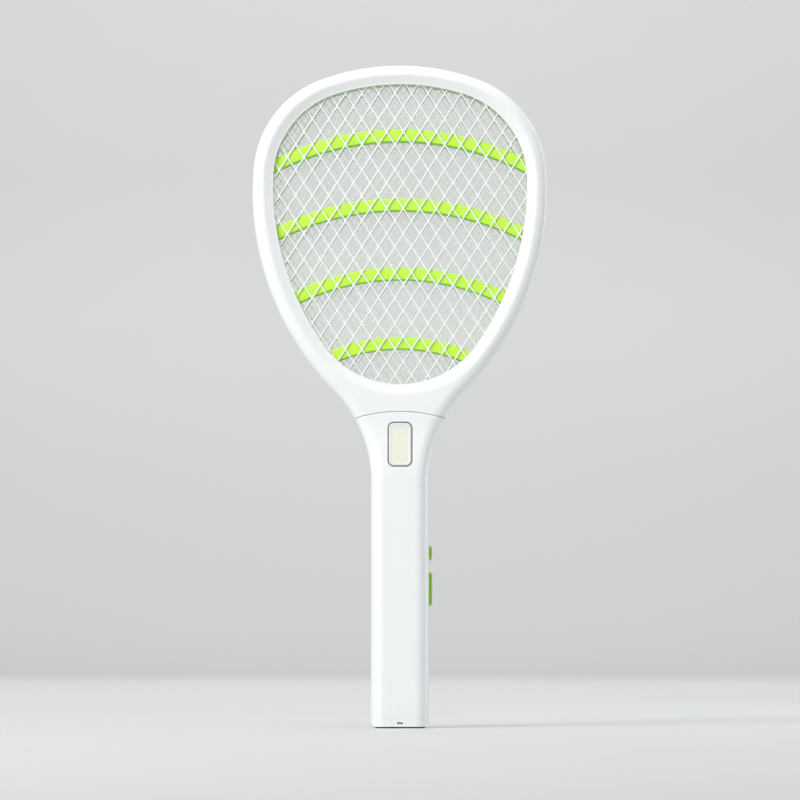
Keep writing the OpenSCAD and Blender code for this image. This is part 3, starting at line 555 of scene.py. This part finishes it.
def shade(piece, sharp):
    piece.data.shade_smooth()
    piece.data.set_sharp_from_angle(angle=math.radians(sharp))


def baked(piece, *modifiers):
    """Adds each modifier, a (type, settings) pair, and applies the whole stack to the mesh."""
    for kind, settings in modifiers:
        added = piece.modifiers.new(kind.lower(), kind)
        for key, value in settings.items():
            setattr(added, key, value)
    graph = bpy.context.evaluated_depsgraph_get()
    mesh = bpy.data.meshes.new_from_object(piece.evaluated_get(graph), depsgraph=graph)
    piece.modifiers.clear()
    old, piece.data = piece.data, mesh
    mesh.name = piece.name
    bpy.data.meshes.remove(old)


def drop(*pieces):
    for piece in pieces:
        bpy.data.objects.remove(piece)


def rounded(w, h, r, steps=8):
    """A rounded rectangle as points, the same number for any size."""
    turns = np.radians(np.linspace(0, 90, steps + 1))
    return np.array([(cx * (w / 2 - r) + r * math.cos(t + q), cz * (h / 2 - r) + r * math.sin(t + q))
                     for cx, cz, q in ((1, 1, 0), (-1, 1, math.pi / 2),
                                   (-1, -1, math.pi), (1, -1, -math.pi / 2))
                     for t in turns])


def round_loop(r, steps=8):
    return rounded(2 * r, 2 * r, r, steps)


def stack(loops, ends=True):
    """Points and faces through equal loops; ends close it at both sides with a fan."""
    loops = np.asarray(loops)
    rows, columns = loops.shape[:2]
    points, faces = loops.reshape(-1, 3), grid_faces(rows, columns, closed_columns=True)
    if ends:
        for row in (0, rows - 1):
            middle = len(points)
            points = np.vstack([points, loops[row].mean(axis=0)])
            ring = [row * columns + k for k in range(columns)]
            faces += [[ring[k], ring[(k + 1) % columns], middle] for k in range(columns)]
    return points, faces


def joined(parts):
    """Several (points, faces) pairs as one."""
    points, faces, start = [], [], 0
    for p, f in parts:
        points.append(np.asarray(p))
        faces += [[v + start for v in face] for face in f]
        start += len(p)
    return np.vstack(points), faces


# %% [markdown]
# ## Head frames
#
# The head is two white mouldings that meet at the middle. In section each one starts at the parting
# line, rounds over the edge, rises to the ridge, slopes down to the lip and ends under it in a pocket
# for the grids. Cutting a solid with booleans would leave facets on those curves; instead the section
# is laid out at some 400 stations round the opening, and neighbouring stations are joined by quads.

# %% Stations round the head
def walk(arcs, step):
    points = []
    for (cx, cz), r, first, last, bulge in arcs:
        n = max(2, math.ceil(r * abs(last - first) / step))
        for t in np.linspace(first, last, n + 1)[:-1]:
            points.append((cx + r * math.cos(t), cz + r * math.sin(t)))
    (cx, cz), r, _, last, _ = arcs[-1]
    return points + [(cx + r * math.cos(last), cz + r * math.sin(last))]


def seam_corner():
    """The angle on the neck's arc where the seam meets the outline."""
    low, high = a_neck + math.pi, math.pi
    for _ in range(60):
        mid = (low + high) / 2
        p = (neck_c[0] + NECK_R * math.cos(mid), neck_c[1] + NECK_R * math.sin(mid))
        low, high = (mid, high) if math.dist(p, SEAM_C) > SEAM_R + SEAM_GAP else (low, mid)
    return low


CORNER = seam_corner()
corner_point = (neck_c[0] + NECK_R * math.cos(CORNER), neck_c[1] + NECK_R * math.sin(CORNER))
right = walk(BODY[:3] + [(neck_c, NECK_R, a_neck + math.pi, CORNER, -1)], 2.0)
seam_turns = np.linspace(heading(away(SEAM_C, corner_point)), math.pi / 2, 22)[1:]
seam_r = SEAM_R + SEAM_GAP
right += [(seam_r * math.cos(t), SEAM_C[1] + seam_r * math.sin(t)) for t in seam_turns]
outer = np.array(right + [(-x, z) for x, z in right[-2:0:-1]])
CENTRE = np.array([0.0, 330.0])


def opening_point(p):
    low, high = np.zeros(len(p)), np.ones(len(p))
    for _ in range(45):
        mid = (low + high) / 2
        at = CENTRE + (p - CENTRE) * mid[:, None]
        out = inside(OPENING, at[:, 0], at[:, 1]) < 0
        low, high = np.where(out, low, mid), np.where(out, mid, high)
    return CENTRE + (p - CENTRE) * low[:, None]


inner = opening_point(outer)
print("stations:", len(outer), "corner at", [round(c, 1) for c in corner_point])

# %% Sections at the stations
START, END = np.array([0, 0.03, 0.1, 0.2, 0.35]), np.array([0.3, 0.18, 0.08, 0.02, 0])
SPAN, POCKET_Y, POCKET_IN = 34, 7.5, 4.7


def head_half(side):
    """Points and faces of one head moulding: side is -1 for the front and 1 for the rear."""
    sections = []
    for b, i in zip(outer, inner):
        length, way = math.dist(b, i), (i - b) / math.dist(b, i)
        s = np.linspace(START[-1], length - END[0], 240)
        h = rim(b[0] + way[0] * s, b[1] + way[1] * s)
        run = np.concatenate([[0], np.cumsum(np.hypot(np.diff(s), np.diff(h)))])
        s = np.interp(np.linspace(0, run[-1], SPAN), run, s)
        s = np.concatenate([START[:-1], s, (length - END)[1:]])
        top = rim(b[0] + way[0] * s, b[1] + way[1] * s)
        pocket = length + 0 * s[:1] - POCKET_IN
        reach = np.concatenate([[0.15, 0, 0], s, [length, pocket[0], pocket[0]]])
        high = np.concatenate([[0, 0.2, top[0] / 2], top, [POCKET_Y, POCKET_Y, 0]])
        sections.append(np.stack([b[0] + way[0] * reach, side * high, b[1] + way[1] * reach], axis=1))
    sections = np.array(sections)
    rows, columns = sections.shape[:2]
    return sections.reshape(-1, 3), grid_faces(rows, columns, closed_rows=True, closed_columns=True)


def lug(side):
    """Both tongues that run down from the head into the handle."""
    x0, x1 = 13.7, 20.2
    parts = []
    for mirror in (-1, 1):
        loops = [[(mirror * ((x0 + x1) / 2 + p[0]), side * (0.2 + 4.6 + p[1]), z)
                  for p in rounded(6.5, 9.2, 0.8, 3)]
                 for z in (SEAM_Z - 20.7, SEAM_Z - 20, SEAM_Z - 3, SEAM_Z + 2)]
        parts.append(stack(loops))
    return parts


head_front = finished("head_front", *joined([head_half(-1), *lug(-1)]), "white_shell", ["head_front_frame"])
head_rear = finished("head_rear", *joined([head_half(1), *lug(1)]), "white_shell", ["head_rear_frame"])

# %% [markdown]
# ## Screw wells
#
# The screws that hold the halves together sit in round wells in the rear mouldings. A well is a plain
# subtraction, so this is the one place where the boolean modifier is the right tool: the cutter is a
# lathed plug with a small lead-in at its mouth.

# %% Wells for the screws
def well(x, z, floor_y, r, mouth_y):
    """A cutter along +Y from the floor of a well, flared where it leaves the surface at mouth_y."""
    levels = [(floor_y, r), (mouth_y - 0.35, r), (mouth_y, r + 0.35), (mouth_y + 3, r + 3.35)]
    return stack([[(x + p[0], y, z + p[1]) for p in round_loop(q, 9)] for y, q in levels])


def screw_places(node, low_y):
    """Where the heads of a group of screws are, found from the group's own mesh."""
    points = np.array([v.co for v in frame["nodes"][node].data.vertices]) / MM
    points = points[points[:, 1] > low_y]
    places = []
    for p in points:
        near = [k for k in places if math.dist(k[0], (p[0], p[2])) < 6]
        if near:
            near[0][1].append(p)
        else:
            places.append(((p[0], p[2]), [p]))
    boxes = [np.array(group) for _, group in places]
    return [((g[:, 0].min() + g[:, 0].max()) / 2, (g[:, 2].min() + g[:, 2].max()) / 2) for g in boxes]


def cut(piece, parts, sharp=35):
    """Takes cutters, as (points, faces) pairs, out of a piece."""
    cutter = finished("cutter", *joined(parts), None, [])
    baked(piece, ("BOOLEAN", {"object": cutter, "operation": "DIFFERENCE", "solver": "EXACT",
                              "use_self": True}))
    drop(cutter)
    shade(piece, sharp)
    print(piece.name, "after", len(parts), "cuts:", len(piece.data.polygons), "faces")


rim_places = screw_places("head_screws", 6.4)
cut(head_rear, [well(x, z, 6.5, 2.5, float(rim(np.array([x]), np.array([z]))[0])) for x, z in rim_places])

# %% [markdown]
# ## Handle shells
#
# The handle is two shells that meet at its sides. Each is one sheet: columns run up the handle, closest
# together over the rounded edges, and rows follow the curved seam at the top and flatten out towards the
# foot. A second sheet a wall's thickness inside lines it, and strips close the two along their borders.
# Solidify would do that too, but it throws points out of the thin corners at the foot.

# %% The skin of one shell
FOOT_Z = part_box("handle_front_shell")[0].z / MM
CORNER_R, WALL = 3.6, 2.2


def outline_x(z):
    hollow = neck_x - np.sqrt(np.clip(NECK_R ** 2 - (z - neck_c[1]) ** 2, 0, None))
    up = np.clip(FOOT_Z + CORNER_R - z, 0, CORNER_R)
    return np.where(z > neck_c[1], hollow, HANDLE_HW - CORNER_R + np.sqrt(CORNER_R ** 2 - up ** 2))


def seam_top(x):
    return SEAM_C[1] + np.sqrt(SEAM_R ** 2 - x ** 2)


def shell_rows():
    """Shares of the way from the foot to the seam, closer together at both ends."""
    foot = FOOT_Z + CORNER_R * (1 - np.cos(np.radians(np.linspace(0, 90, 9))))
    long = seam_top(0.0) - FOOT_Z
    body = np.linspace(FOOT_Z + CORNER_R + 2.5, seam_top(0.0) - 1.5, 84)
    top = seam_top(0.0) - np.array([0.7, 0.35, 0.2, 0.1, 0.03, 0.0])
    return (np.concatenate([foot, [FOOT_Z + 0.08, FOOT_Z + 0.45], body, top]) - FOOT_Z) / long


def shell_half(side, name):
    rows = []
    edge = EDGE_R * (1 - np.cos(np.radians(np.linspace(0, 90, 15))))
    for v in np.sort(shell_rows()):
        z_edge = FOOT_Z + v * 200
        for _ in range(60):
            z_edge = FOOT_Z + (seam_top(outline_x(z_edge)) - FOOT_Z) * v
        wide = float(outline_x(z_edge))
        x = np.concatenate([-wide + edge, np.linspace(-wide + EDGE_R, wide - EDGE_R, 13)[1:-1],
                            wide - edge[::-1]])
        z = FOOT_Z + (seam_top(x) - FOOT_Z) * v
        gap = SEAM_R - np.hypot(x, z - SEAM_C[1])
        h = skin(x, z) - fillet(gap, 0.35) - fillet(z - FOOT_Z, 0.5)
        x = np.concatenate([[x[0] + 0.15, x[0], x[0]], x, [x[-1], x[-1], x[-1] - 0.15]])
        z = np.concatenate([[z[0]] * 3, z, [z[-1]] * 3])
        h = np.concatenate([[0.02, 0.22, h[0] / 2], h, [h[-1] / 2, 0.22, 0.02]])
        rows.append(np.stack([x, side * h, z], axis=1))
    sole = [rows[0] * np.array([1, share, 1]) for share in (0.002, 0.35, 0.7, 0.9)]
    skin_rows = np.array(sole + rows)
    x, y, z = skin_rows[..., 0], skin_rows[..., 1], skin_rows[..., 2]
    narrower = 1 - WALL / np.abs(x).max(axis=1, keepdims=True)
    up = (z - FOOT_Z) / (seam_top(x) - FOOT_Z)
    lining = np.stack([x * narrower, y * (1 - WALL / half_t(z)), z + WALL * (1 - up)], axis=-1)
    sheet = np.concatenate([skin_rows, lining[:, ::-1]], axis=1)
    rows, columns = sheet.shape[:2]
    faces = grid_faces(rows, columns, closed_columns=True)
    for first in (0, (rows - 1) * columns):
        last = first + columns - 1
        faces += [[first + j, first + j + 1, last - j - 1, last - j] for j in range(columns // 2 - 1)]
    return finished(name, sheet.reshape(-1, 3), faces, None, [])


# %% [markdown]
# ## What the shells hold and what is cut out of them
#
# Inside stand the screw posts; outside, the shells are pierced for the lamp, the two controls, the
# charge light, the charging socket, the strap pin and the screws. The cutters are rounded, as the real
# openings are, because a mould can't make a sharp inner corner.

# %% Posts and openings
BUTTON_Z, KNOB_Z, LIGHT_Z = 100.1, 126.1, 116.7
LENS_W, LENS_H, LENS_R, BEZEL_W = 16.3, 31.0, 3.8, 0.9
LAMP_Z = lens_mid.z / MM


def post(x, z, side, y0=0.1, r=3.2):
    """A screw post whose end follows the skin from inside."""
    ring = round_loop(r, 6) + [x, z]
    ends = np.full(len(ring), y0), skin(ring[:, 0], ring[:, 1]) - 0.9
    return stack([np.stack([ring[:, 0], side * y, ring[:, 1]], axis=1) for y in ends])


def hole_y(x, z, w, h, r, y0, y1):
    return stack([[(x + p[0], y, z + p[1]) for p in rounded(w, h, r)] for y in (y0, y1)])


def hole_x(z, w, h, r, x0=16.5, x1=24.0):
    return stack([[(x, p[0], z + p[1]) for p in rounded(w, h, r)] for x in (x0, x1)])


def hole_z(w, d, r, z0, z1):
    return stack([[(p[0], p[1], z) for p in rounded(w, d, r)] for z in (z0, z1)])


def handle_half(side, name, node, posts, holes):
    piece = shell_half(side, name)
    held = finished("posts", *joined(posts), None, [])
    baked(piece, ("BOOLEAN", {"object": held, "operation": "UNION", "solver": "EXACT"}))
    drop(held)
    sides = [hole_x(BUTTON_Z, 8.4, 24.6, 1.8), hole_x(KNOB_Z, 3.4, 7.0, 0.8),
             hole_x(LIGHT_Z, 1.44, 1.44, 0.71),
             hole_z(9.4, 3.7, 1.4, -1, 6)]
    cut(piece, holes + sides)
    piece.data.materials.clear()
    piece.data.materials.append(shell_white.material)
    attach(piece, "racket")
    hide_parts(node)
    return piece


handle_places = screw_places("handle_screws", 10.9)
posts = [(x, z) for x, z in handle_places if z < 200]
front_posts = [post(x, z, -1) for x, z in posts]
rear_posts = [post(x, z, 1) for x, z in posts]
rear_posts += [post(x, z, 1, 9.9) for x, z in handle_places if z > 200]
front_holes = [hole_y(0, LAMP_Z, LENS_W + 2 * BEZEL_W, LENS_H + 2 * BEZEL_W, LENS_R + BEZEL_W, -20, -8.7),
               hole_y(0, 3.7, 4.1, 1.3, 0.64, -20, -12.4)]
rear_holes = [well(x, z, 11.0, 2.5, float(skin(np.array([x]), np.array([z]))[0])) for x, z in handle_places]
handle_front = handle_half(-1, "handle_front", "handle_front_shell", front_posts, front_holes)
handle_rear = handle_half(1, "handle_rear", "handle_rear_shell", rear_posts, rear_holes)

# %% [markdown]
# ## Expanded-metal grids
#
# Expanded metal is a sheet that is slit and pulled open, so its strands are one piece with soft edges
# and slightly thicker crossings. Tubes laid across each other would cross at different depths, and a
# flat cut-out would have hard edges. Here each diamond is a frame of quads from the middle line of its
# strands to its hole, lower towards the hole, so strands come out oval and meet in one flat sheet.

# %% Lattices of diamonds
def lattice(cell_w, cell_h, strand, thick, y_mid, shift, shares, bands, reach=4.0):
    """Shares are points along a side of a diamond; bands are (share of strand, share of height)."""
    slope = math.atan2(cell_h, cell_w)
    hole = np.array([cell_w / 2 - strand / 2 / math.sin(slope), cell_h / 2 - strand / 2 / math.cos(slope)])
    corners = np.array([[1, 0], [0, 1], [-1, 0], [0, -1]])
    edge, gap = [], []
    for k in range(4):
        a, b = corners[k], corners[(k + 1) % 4]
        for u in shares:
            edge.append((a + (b - a) * u) * [cell_w / 2, cell_h / 2])
            pull = 0.94 if u == 0 and len(shares) > 2 else 1.0
            gap.append((a + (b - a) * u) * hole * pull)
    edge, gap = np.array(edge), np.array(gap)
    n, columns = len(edge), math.ceil(OPEN_HW / cell_w) + 1
    rows = math.ceil(OPEN_H / cell_h) + 1
    low = open_low_c[1] - OPEN_LOW_R - cell_h / 2
    places = np.array([(i * cell_w / 2, low + j * cell_h / 2) for i in range(-2 * columns, 2 * columns + 1)
                       for j in range(2 * rows + 1) if (i + j) % 2 == 0])
    far = inside(OPENING, places[:, 0], places[:, 1])
    far = np.where(np.isinf(far), 50, far)
    places = places[far > -cell_h] + shift
    levels = [(t, h) for t, h in bands] + [(t, -h) for t, h in bands[-2::-1]]
    ring = np.array([np.concatenate([edge + (gap - edge) * t, np.full((n, 1), h)], axis=1)
                     for t, h in levels])
    points = np.zeros((len(places), *ring.shape))
    points[:] = ring
    points[..., :2] += places[:, None, None, :]
    faces = np.array(grid_faces(len(levels), n, closed_columns=True))
    faces = (faces[None] + (np.arange(len(places)) * len(levels) * n)[:, None, None]).reshape(-1, 4)
    points = points.reshape(-1, 3)
    middle = points[faces].mean(axis=1)
    deep = inside(OPENING, middle[:, 0], middle[:, 1])
    faces = faces[np.where(np.isinf(deep), 50, deep) > -reach]
    spots, index = np.unique(np.round(points, 4), axis=0, return_inverse=True)
    faces = index.reshape(-1)[faces]
    used = np.unique(faces)
    order = np.full(len(spots), -1)
    order[used] = np.arange(len(used))
    spots = spots[used]
    placed = np.stack([spots[:, 0], y_mid + spots[:, 2] * thick / 2, spots[:, 1]], axis=1)
    return placed, order[faces].tolist()


def hoop(w0, w1, y0, y1, soft, step=3.0):
    """A ring under the rim, from w0 to w1 outside the opening, with soft edges."""
    section = [(w0, y0 + soft), (w0 + soft, y0), (w1 - soft, y0), (w1, y0 + soft),
               (w1, y1 - soft), (w1 - soft, y1), (w0 + soft, y1), (w0, y1 - soft)]
    loops = []
    for w, y in section:
        arcs = [(c, r + w, a, b, k) for c, r, a, b, k in OPENING]
        half = [p for c, r, a, b, _ in arcs
                for t in np.linspace(a, b, max(3, int(r * abs(b - a) / step)))[:-1]
                for p in [(c[0] + r * math.cos(t), c[1] + r * math.sin(t))]]
        half.append((0.0, open_low_c[1] - OPEN_LOW_R - w))
        loops.append([(x, y, z) for x, z in half + [(-x, z) for x, z in half[-2:0:-1]]])
    count = min(len(loop) for loop in loops)
    even = [np.array(loop)[np.linspace(0, len(loop) - 1, count).round().astype(int)] for loop in loops]
    even = np.array(even)
    return even.reshape(-1, 3), grid_faces(*even.shape[:2], closed_rows=True, closed_columns=True)


GUARD_BANDS = [(0, 1), (0.5, 0.95), (0.84, 0.66), (1, 0)]
FINE_BANDS = [(0, 1), (0.7, 0.75), (1, 0)]
GUARD_SHIFT = (2.5, -2.5)
for name, y_mid, node in (("guard_grid_front", -6.9, "guard_mesh_front"),
                          ("guard_grid_rear", 6.9, "guard_mesh_rear")):
    parts = [lattice(12.0, 18.6, 1.05, 1.0, y_mid, GUARD_SHIFT, (0, 0.06, 0.5, 0.94), GUARD_BANDS),
             hoop(2.6, 4.5, y_mid - 0.5, y_mid + 0.5, 0.2)]
    finished(name, *joined(parts), "white_coat", [node], sharp=60)
parts = [lattice(5.1, 7.4, 0.44, 0.5, 0.0, (0, 0), (0, 0.5), FINE_BANDS), hoop(2.6, 4.5, -0.4, 0.4, 0.15)]
finished("live_grid_sheet", *joined(parts), "live_grid", ["electrode_mesh"], sharp=60)

# %% [markdown]
# ## Spacers
#
# A spacer is a ring under the rim with four bars that arch across the opening and hold the grids apart.
# Each bar is a rounded section drawn along an arc. A curve object with a bevel would turn the section
# with the curve, and here it has to stay upright, so the section is placed point by point.

# %% Bars and rings
BAR_H, BAR_DROP, BAR_PITCH, BAR_RS = 8.8, 32.7, 50.3, (205.0, 205.0, 175.0, 128.0)


def bar(index, y0, y1):
    r, top = BAR_RS[index], OPEN_TOP - BAR_DROP - index * BAR_PITCH
    centre = top - r

    def out(t, radius):
        x, z = radius * math.sin(t), centre + radius * math.cos(t)
        return float(inside(OPENING, np.array(x), np.array(z))) < -3.0

    low, high = 0.0, 1.0
    for _ in range(40):
        mid = (low + high) / 2
        low, high = (low, mid) if out(mid, r - BAR_H / 2) else (mid, high)
    section = rounded(y1 - y0, BAR_H, 0.7, 3)
    turns = np.linspace(-low, low, 61)
    loops = [[((r - BAR_H / 2 + p[1]) * math.sin(t), (y0 + y1) / 2 + p[0],
               centre + (r - BAR_H / 2 + p[1]) * math.cos(t)) for p in section] for t in turns]
    return stack(loops)


for name, y0, y1, node in (("spacer_lime_front", -6.35, -0.45, "spacer_front"),
                           ("spacer_lime_rear", 0.45, 6.35, "spacer_rear")):
    parts = [bar(k, y0, y1) for k in range(4)] + [hoop(3.2, 4.5, y0, y1, 0.4)]
    finished(name, *joined(parts), "lime_spacer", [node])

# %% [markdown]
# ## Lamp window and its gasket
#
# The window is flush with the neck and follows its curve. It has a shallow step near its edge where the
# thin border meets the thicker middle. Both pieces take their surface from the skin's own height, so
# they lie flush without any fitting.

# %% Lens and gasket
def on_skin(x, z, lift):
    return -(skin(x, z) + lift)


def lens_loop(inset, lift, share=1.0):
    p = rounded(LENS_W - 2 * inset, LENS_H - 2 * inset, max(LENS_R - inset, 0.5)) * share
    x, z = p[:, 0], LAMP_Z + p[:, 1]
    return np.stack([x, on_skin(x, z, lift), z], axis=1)


levels = [(0.05, -1.8), (0.05, -0.5), (0.1, -0.25), (0.25, -0.1), (0.5, -0.02),
          (1.3, 0.0), (1.6, -0.05), (1.8, -0.16),
          (2.0, -0.2)]
loops = [lens_loop(d, lift) for d, lift in levels]
loops += [lens_loop(2.0, -0.2 + 0.12 * (1 - s * s), s) for s in (0.92, 0.75, 0.5, 0.25)]
finished("lamp_window", *stack(loops), "lamp_diffuser", ["lamp_lens"], sharp=50)

levels = [(-BEZEL_W, -3.4), (-BEZEL_W, -0.3), (-BEZEL_W + 0.2, -0.12), (-0.55, -0.08),
          (-0.25, -0.14), (-0.05, -0.35),
          (-0.05, -3.4)]
loops = np.array([lens_loop(d, lift) for d, lift in levels])
faces = grid_faces(*loops.shape[:2], closed_rows=True, closed_columns=True)
finished("lamp_gasket_ring", loops.reshape(-1, 3), faces, "lamp_gasket", ["lamp_bezel"], sharp=60)

# %% [markdown]
# ## Controls
#
# The zap button is a long key with a crowned face; behind the wall it has a flange that keeps it in and
# a stem that reaches the switch. The mode knob is shorter and has a foot behind the wall. Both are stacks of
# rounded loops along the way they stand out, which gives full control of the crown and the edges.

# %% Button and knob
def side_loop(x, z, w, h, r, steps=8):
    return [(x, p[0], z + p[1]) for p in rounded(w, h, max(r, 0.2), steps)]


def crown(z, w, h, r, x0, x1, round_y, round_z):
    """A key head from x0 to x1, rounded more along its length than across."""
    loops = [side_loop(x0, z, w, h, r), side_loop(x1 - round_y - 0.6, z, w, h, r)]
    for turn in np.radians(np.linspace(0, 84, 9)):
        drop_in, drop_z = round_y * (1 - math.cos(turn)), round_z * (1 - math.cos(turn))
        loops.append(side_loop(x1 - 0.08 - round_y * (1 - math.sin(turn)), z, w - 2 * drop_in, h - 2 * drop_z,
                               r + 0.5 * turn))
    last = np.array(loops[-1])
    middle = last.mean(axis=0)
    for share in (0.8, 0.5, 0.25):
        loops.append(middle + (last - middle) * [1, share, share] + [0.08 * (1 - share * share), 0, 0])
    return loops


key_low, key_high = (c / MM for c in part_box("zap_button"))
stem = [side_loop(x, BUTTON_Z, 4.4, 4.4, 2.19) for x in (key_low.x, 17.2)]
flange = [side_loop(x, BUTTON_Z, 11 - s, 27.2 - s, 1.6)
          for x, s in ((17.2, 0.4), (17.4, 0), (18.2, 0), (18.4, 0.4))]
head = crown(BUTTON_Z, 8.0, 24.2, 1.6, 18.4, key_high.x, 1.3, 2.3)
finished("zap_key_green", *stack(stem + flange + head), "green_control", ["zap_button"],
         body="zap_key", sharp=50)

knob_low, knob_high = (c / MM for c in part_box("mode_knob"))
head = stack(crown(KNOB_Z, 7.0, 10.4, 1.6, 21.15, knob_high.x, 1.2, 2.0))
neck = stack([side_loop(x, KNOB_Z, 3.0, 3.6, 0.4) for x in (18.3, 21.3)])
foot = stack([side_loop(x, KNOB_Z, 7 - s, 8.5 - s, 0.6) for x, s in ((knob_low.x, 0.3), (knob_low.x + 0.2, 0),
                                                                     (18.2, 0), (18.4, 0.3))])
finished("mode_knob_green", *joined([head, neck, foot]), "green_control", ["mode_knob"],
         body="mode_slider", sharp=50)

# %% [markdown]
# ## Return spring
#
# The button stands on a small coil of drawn wire. A screw modifier could wind it, but its ends would be
# open; here the wire's rings are placed along the helix and its ends are closed. In the swatter the coil
# shortens towards the switch as the button goes in; here it keeps one fixed length.

# %% Coil
def coil(x0, x1, r, wire, turns, steps=24, sides=10):
    loops = []
    for i in range(steps * turns + 1):
        t, x = 2 * math.pi * i / steps, x0 + (x1 - x0) * i / (steps * turns)
        loops.append([(x + wire * math.sin(u), (r + wire * math.cos(u)) * math.cos(t),
                       BUTTON_Z + (r + wire * math.cos(u)) * math.sin(t))
                      for u in np.linspace(0, 2 * math.pi, sides + 1)[:-1]])
    return stack(loops)


spring_low, spring_high = (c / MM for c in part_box("button_spring"))
SPRING_R, WIRE_R, SPRING_TURNS = 2.7, 0.25, 4
wound = coil(spring_low.x + WIRE_R, spring_high.x - WIRE_R, SPRING_R, WIRE_R, SPRING_TURNS)
spring = finished("return_spring", *wound, "spring_steel", ["button_spring"], sharp=70)
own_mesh(spring)

# %% [markdown]
# ## Foot pad as a painted shadow
#
# A thin black pad under the handle draws the dark line where its foot meets the table: its black is painted
# shadow. It has rounded edges and a hole for the socket, so it is a closed ring of loops: outside up,
# across the top, and down through the hole.

# %% Pad with its hole
def pad_loop(w, d, r, z):
    return [(p[0], p[1], z) for p in rounded(w, d, r)]


PAD_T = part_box("foot_pad")[1].z / MM
levels = [(35.2, 25.2, 5.6, 0), (35.8, 25.8, 5.9, 0.12), (36, 26, 6, 0.4),
          (36, 26, 6, PAD_T), (11, 5.3, 2.2, PAD_T),
          (11, 5.3, 2.2, 0.3), (11.3, 5.6, 2.4, 0.08), (11.6, 5.9, 2.5, 0)]
loops = np.array([pad_loop(*level) for level in levels])
faces = grid_faces(*loops.shape[:2], closed_rows=True, closed_columns=True)
finished("foot_pad_painted_shadow", loops.reshape(-1, 3), faces, "foot_rubber", ["foot_pad"], sharp=45)

# %% [markdown]
# ## Table, backdrop and light
#
# The racket stands on a pale sweep, a table that curves up into a backdrop so that no horizon shows.
# One large soft light from the upper left models the rounded edges, one overhead lights the top of the
# head, and a weak one fills the right side. A narrow one behind on the right draws the bright line down
# that edge, and one high behind the racket lights only the backdrop.

# %% Sweep
sweep_paint = Finish("sweep_paint", (0.60, 0.61, 0.60), 0.55)
sweep_paint.mottle(0.4, 0.97, 3)
sweep_paint.uneven(0.05, 12)
FLOOR_FRONT, FLOOR_END, BEND_R, WALL_Y, WALL_TOP, SWEEP_HW = -5.0, 3.9, 0.9, 4.8, 4.5, 5.0  # metres
profile = [(FLOOR_FRONT, 0.0)]
profile += [(FLOOR_END + BEND_R * math.sin(t), BEND_R - BEND_R * math.cos(t))
            for t in np.radians(np.linspace(0, 90, 25))]
profile += [(WALL_Y, WALL_TOP)]
points = [(x, y, z) for y, z in profile for x in (-SWEEP_HW, SWEEP_HW)]
sweep = finished("sweep", np.array(points) / MM, grid_faces(len(profile), 2), None, [])
sweep.data.materials.append(sweep_paint.material)


def soft_light(name, place, aim, size, power, tint=(1, 1, 1)):
    lamp = bpy.data.objects.new(name, bpy.data.lights.new(name, "AREA"))
    bpy.context.scene.collection.objects.link(lamp)
    lamp.data.shape, lamp.data.size, lamp.data.size_y = "RECTANGLE", size[0], size[1]
    lamp.data.energy, lamp.data.color = power, tint
    lamp.location = place
    lamp.rotation_mode = "QUATERNION"
    lamp.rotation_quaternion = (Vector(aim) - lamp.location).to_track_quat("-Z", "Y")


soft_light("key_left", (-1.7, -1.5, 1.5), (0, 0, 0.25), (1.3, 1.6), 50)
soft_light("top", (0.0, -0.3, 2.0), (0, 0, 0.2), (1.6, 1.2), 16)
soft_light("fill_right", (1.9, -1.4, 0.6), (0, 0, 0.25), (1.2, 1.2), 4)
soft_light("edge_right", (1.1, 0.55, 0.5), (0, 0, 0.25), (0.5, 1.4), 5, (0.93, 0.94, 1.0))
soft_light("backdrop", (0.0, 1.6, 3.0), (0, 4.8, 0.6), (3.0, 0.8), 90)
world = bpy.data.worlds.new("studio")
bpy.context.scene.world = world
world.use_nodes = True
world.node_tree.nodes["Background"].inputs["Color"].default_value = (0.95, 0.97, 1.0, 1)
world.node_tree.nodes["Background"].inputs["Strength"].default_value = 0.42
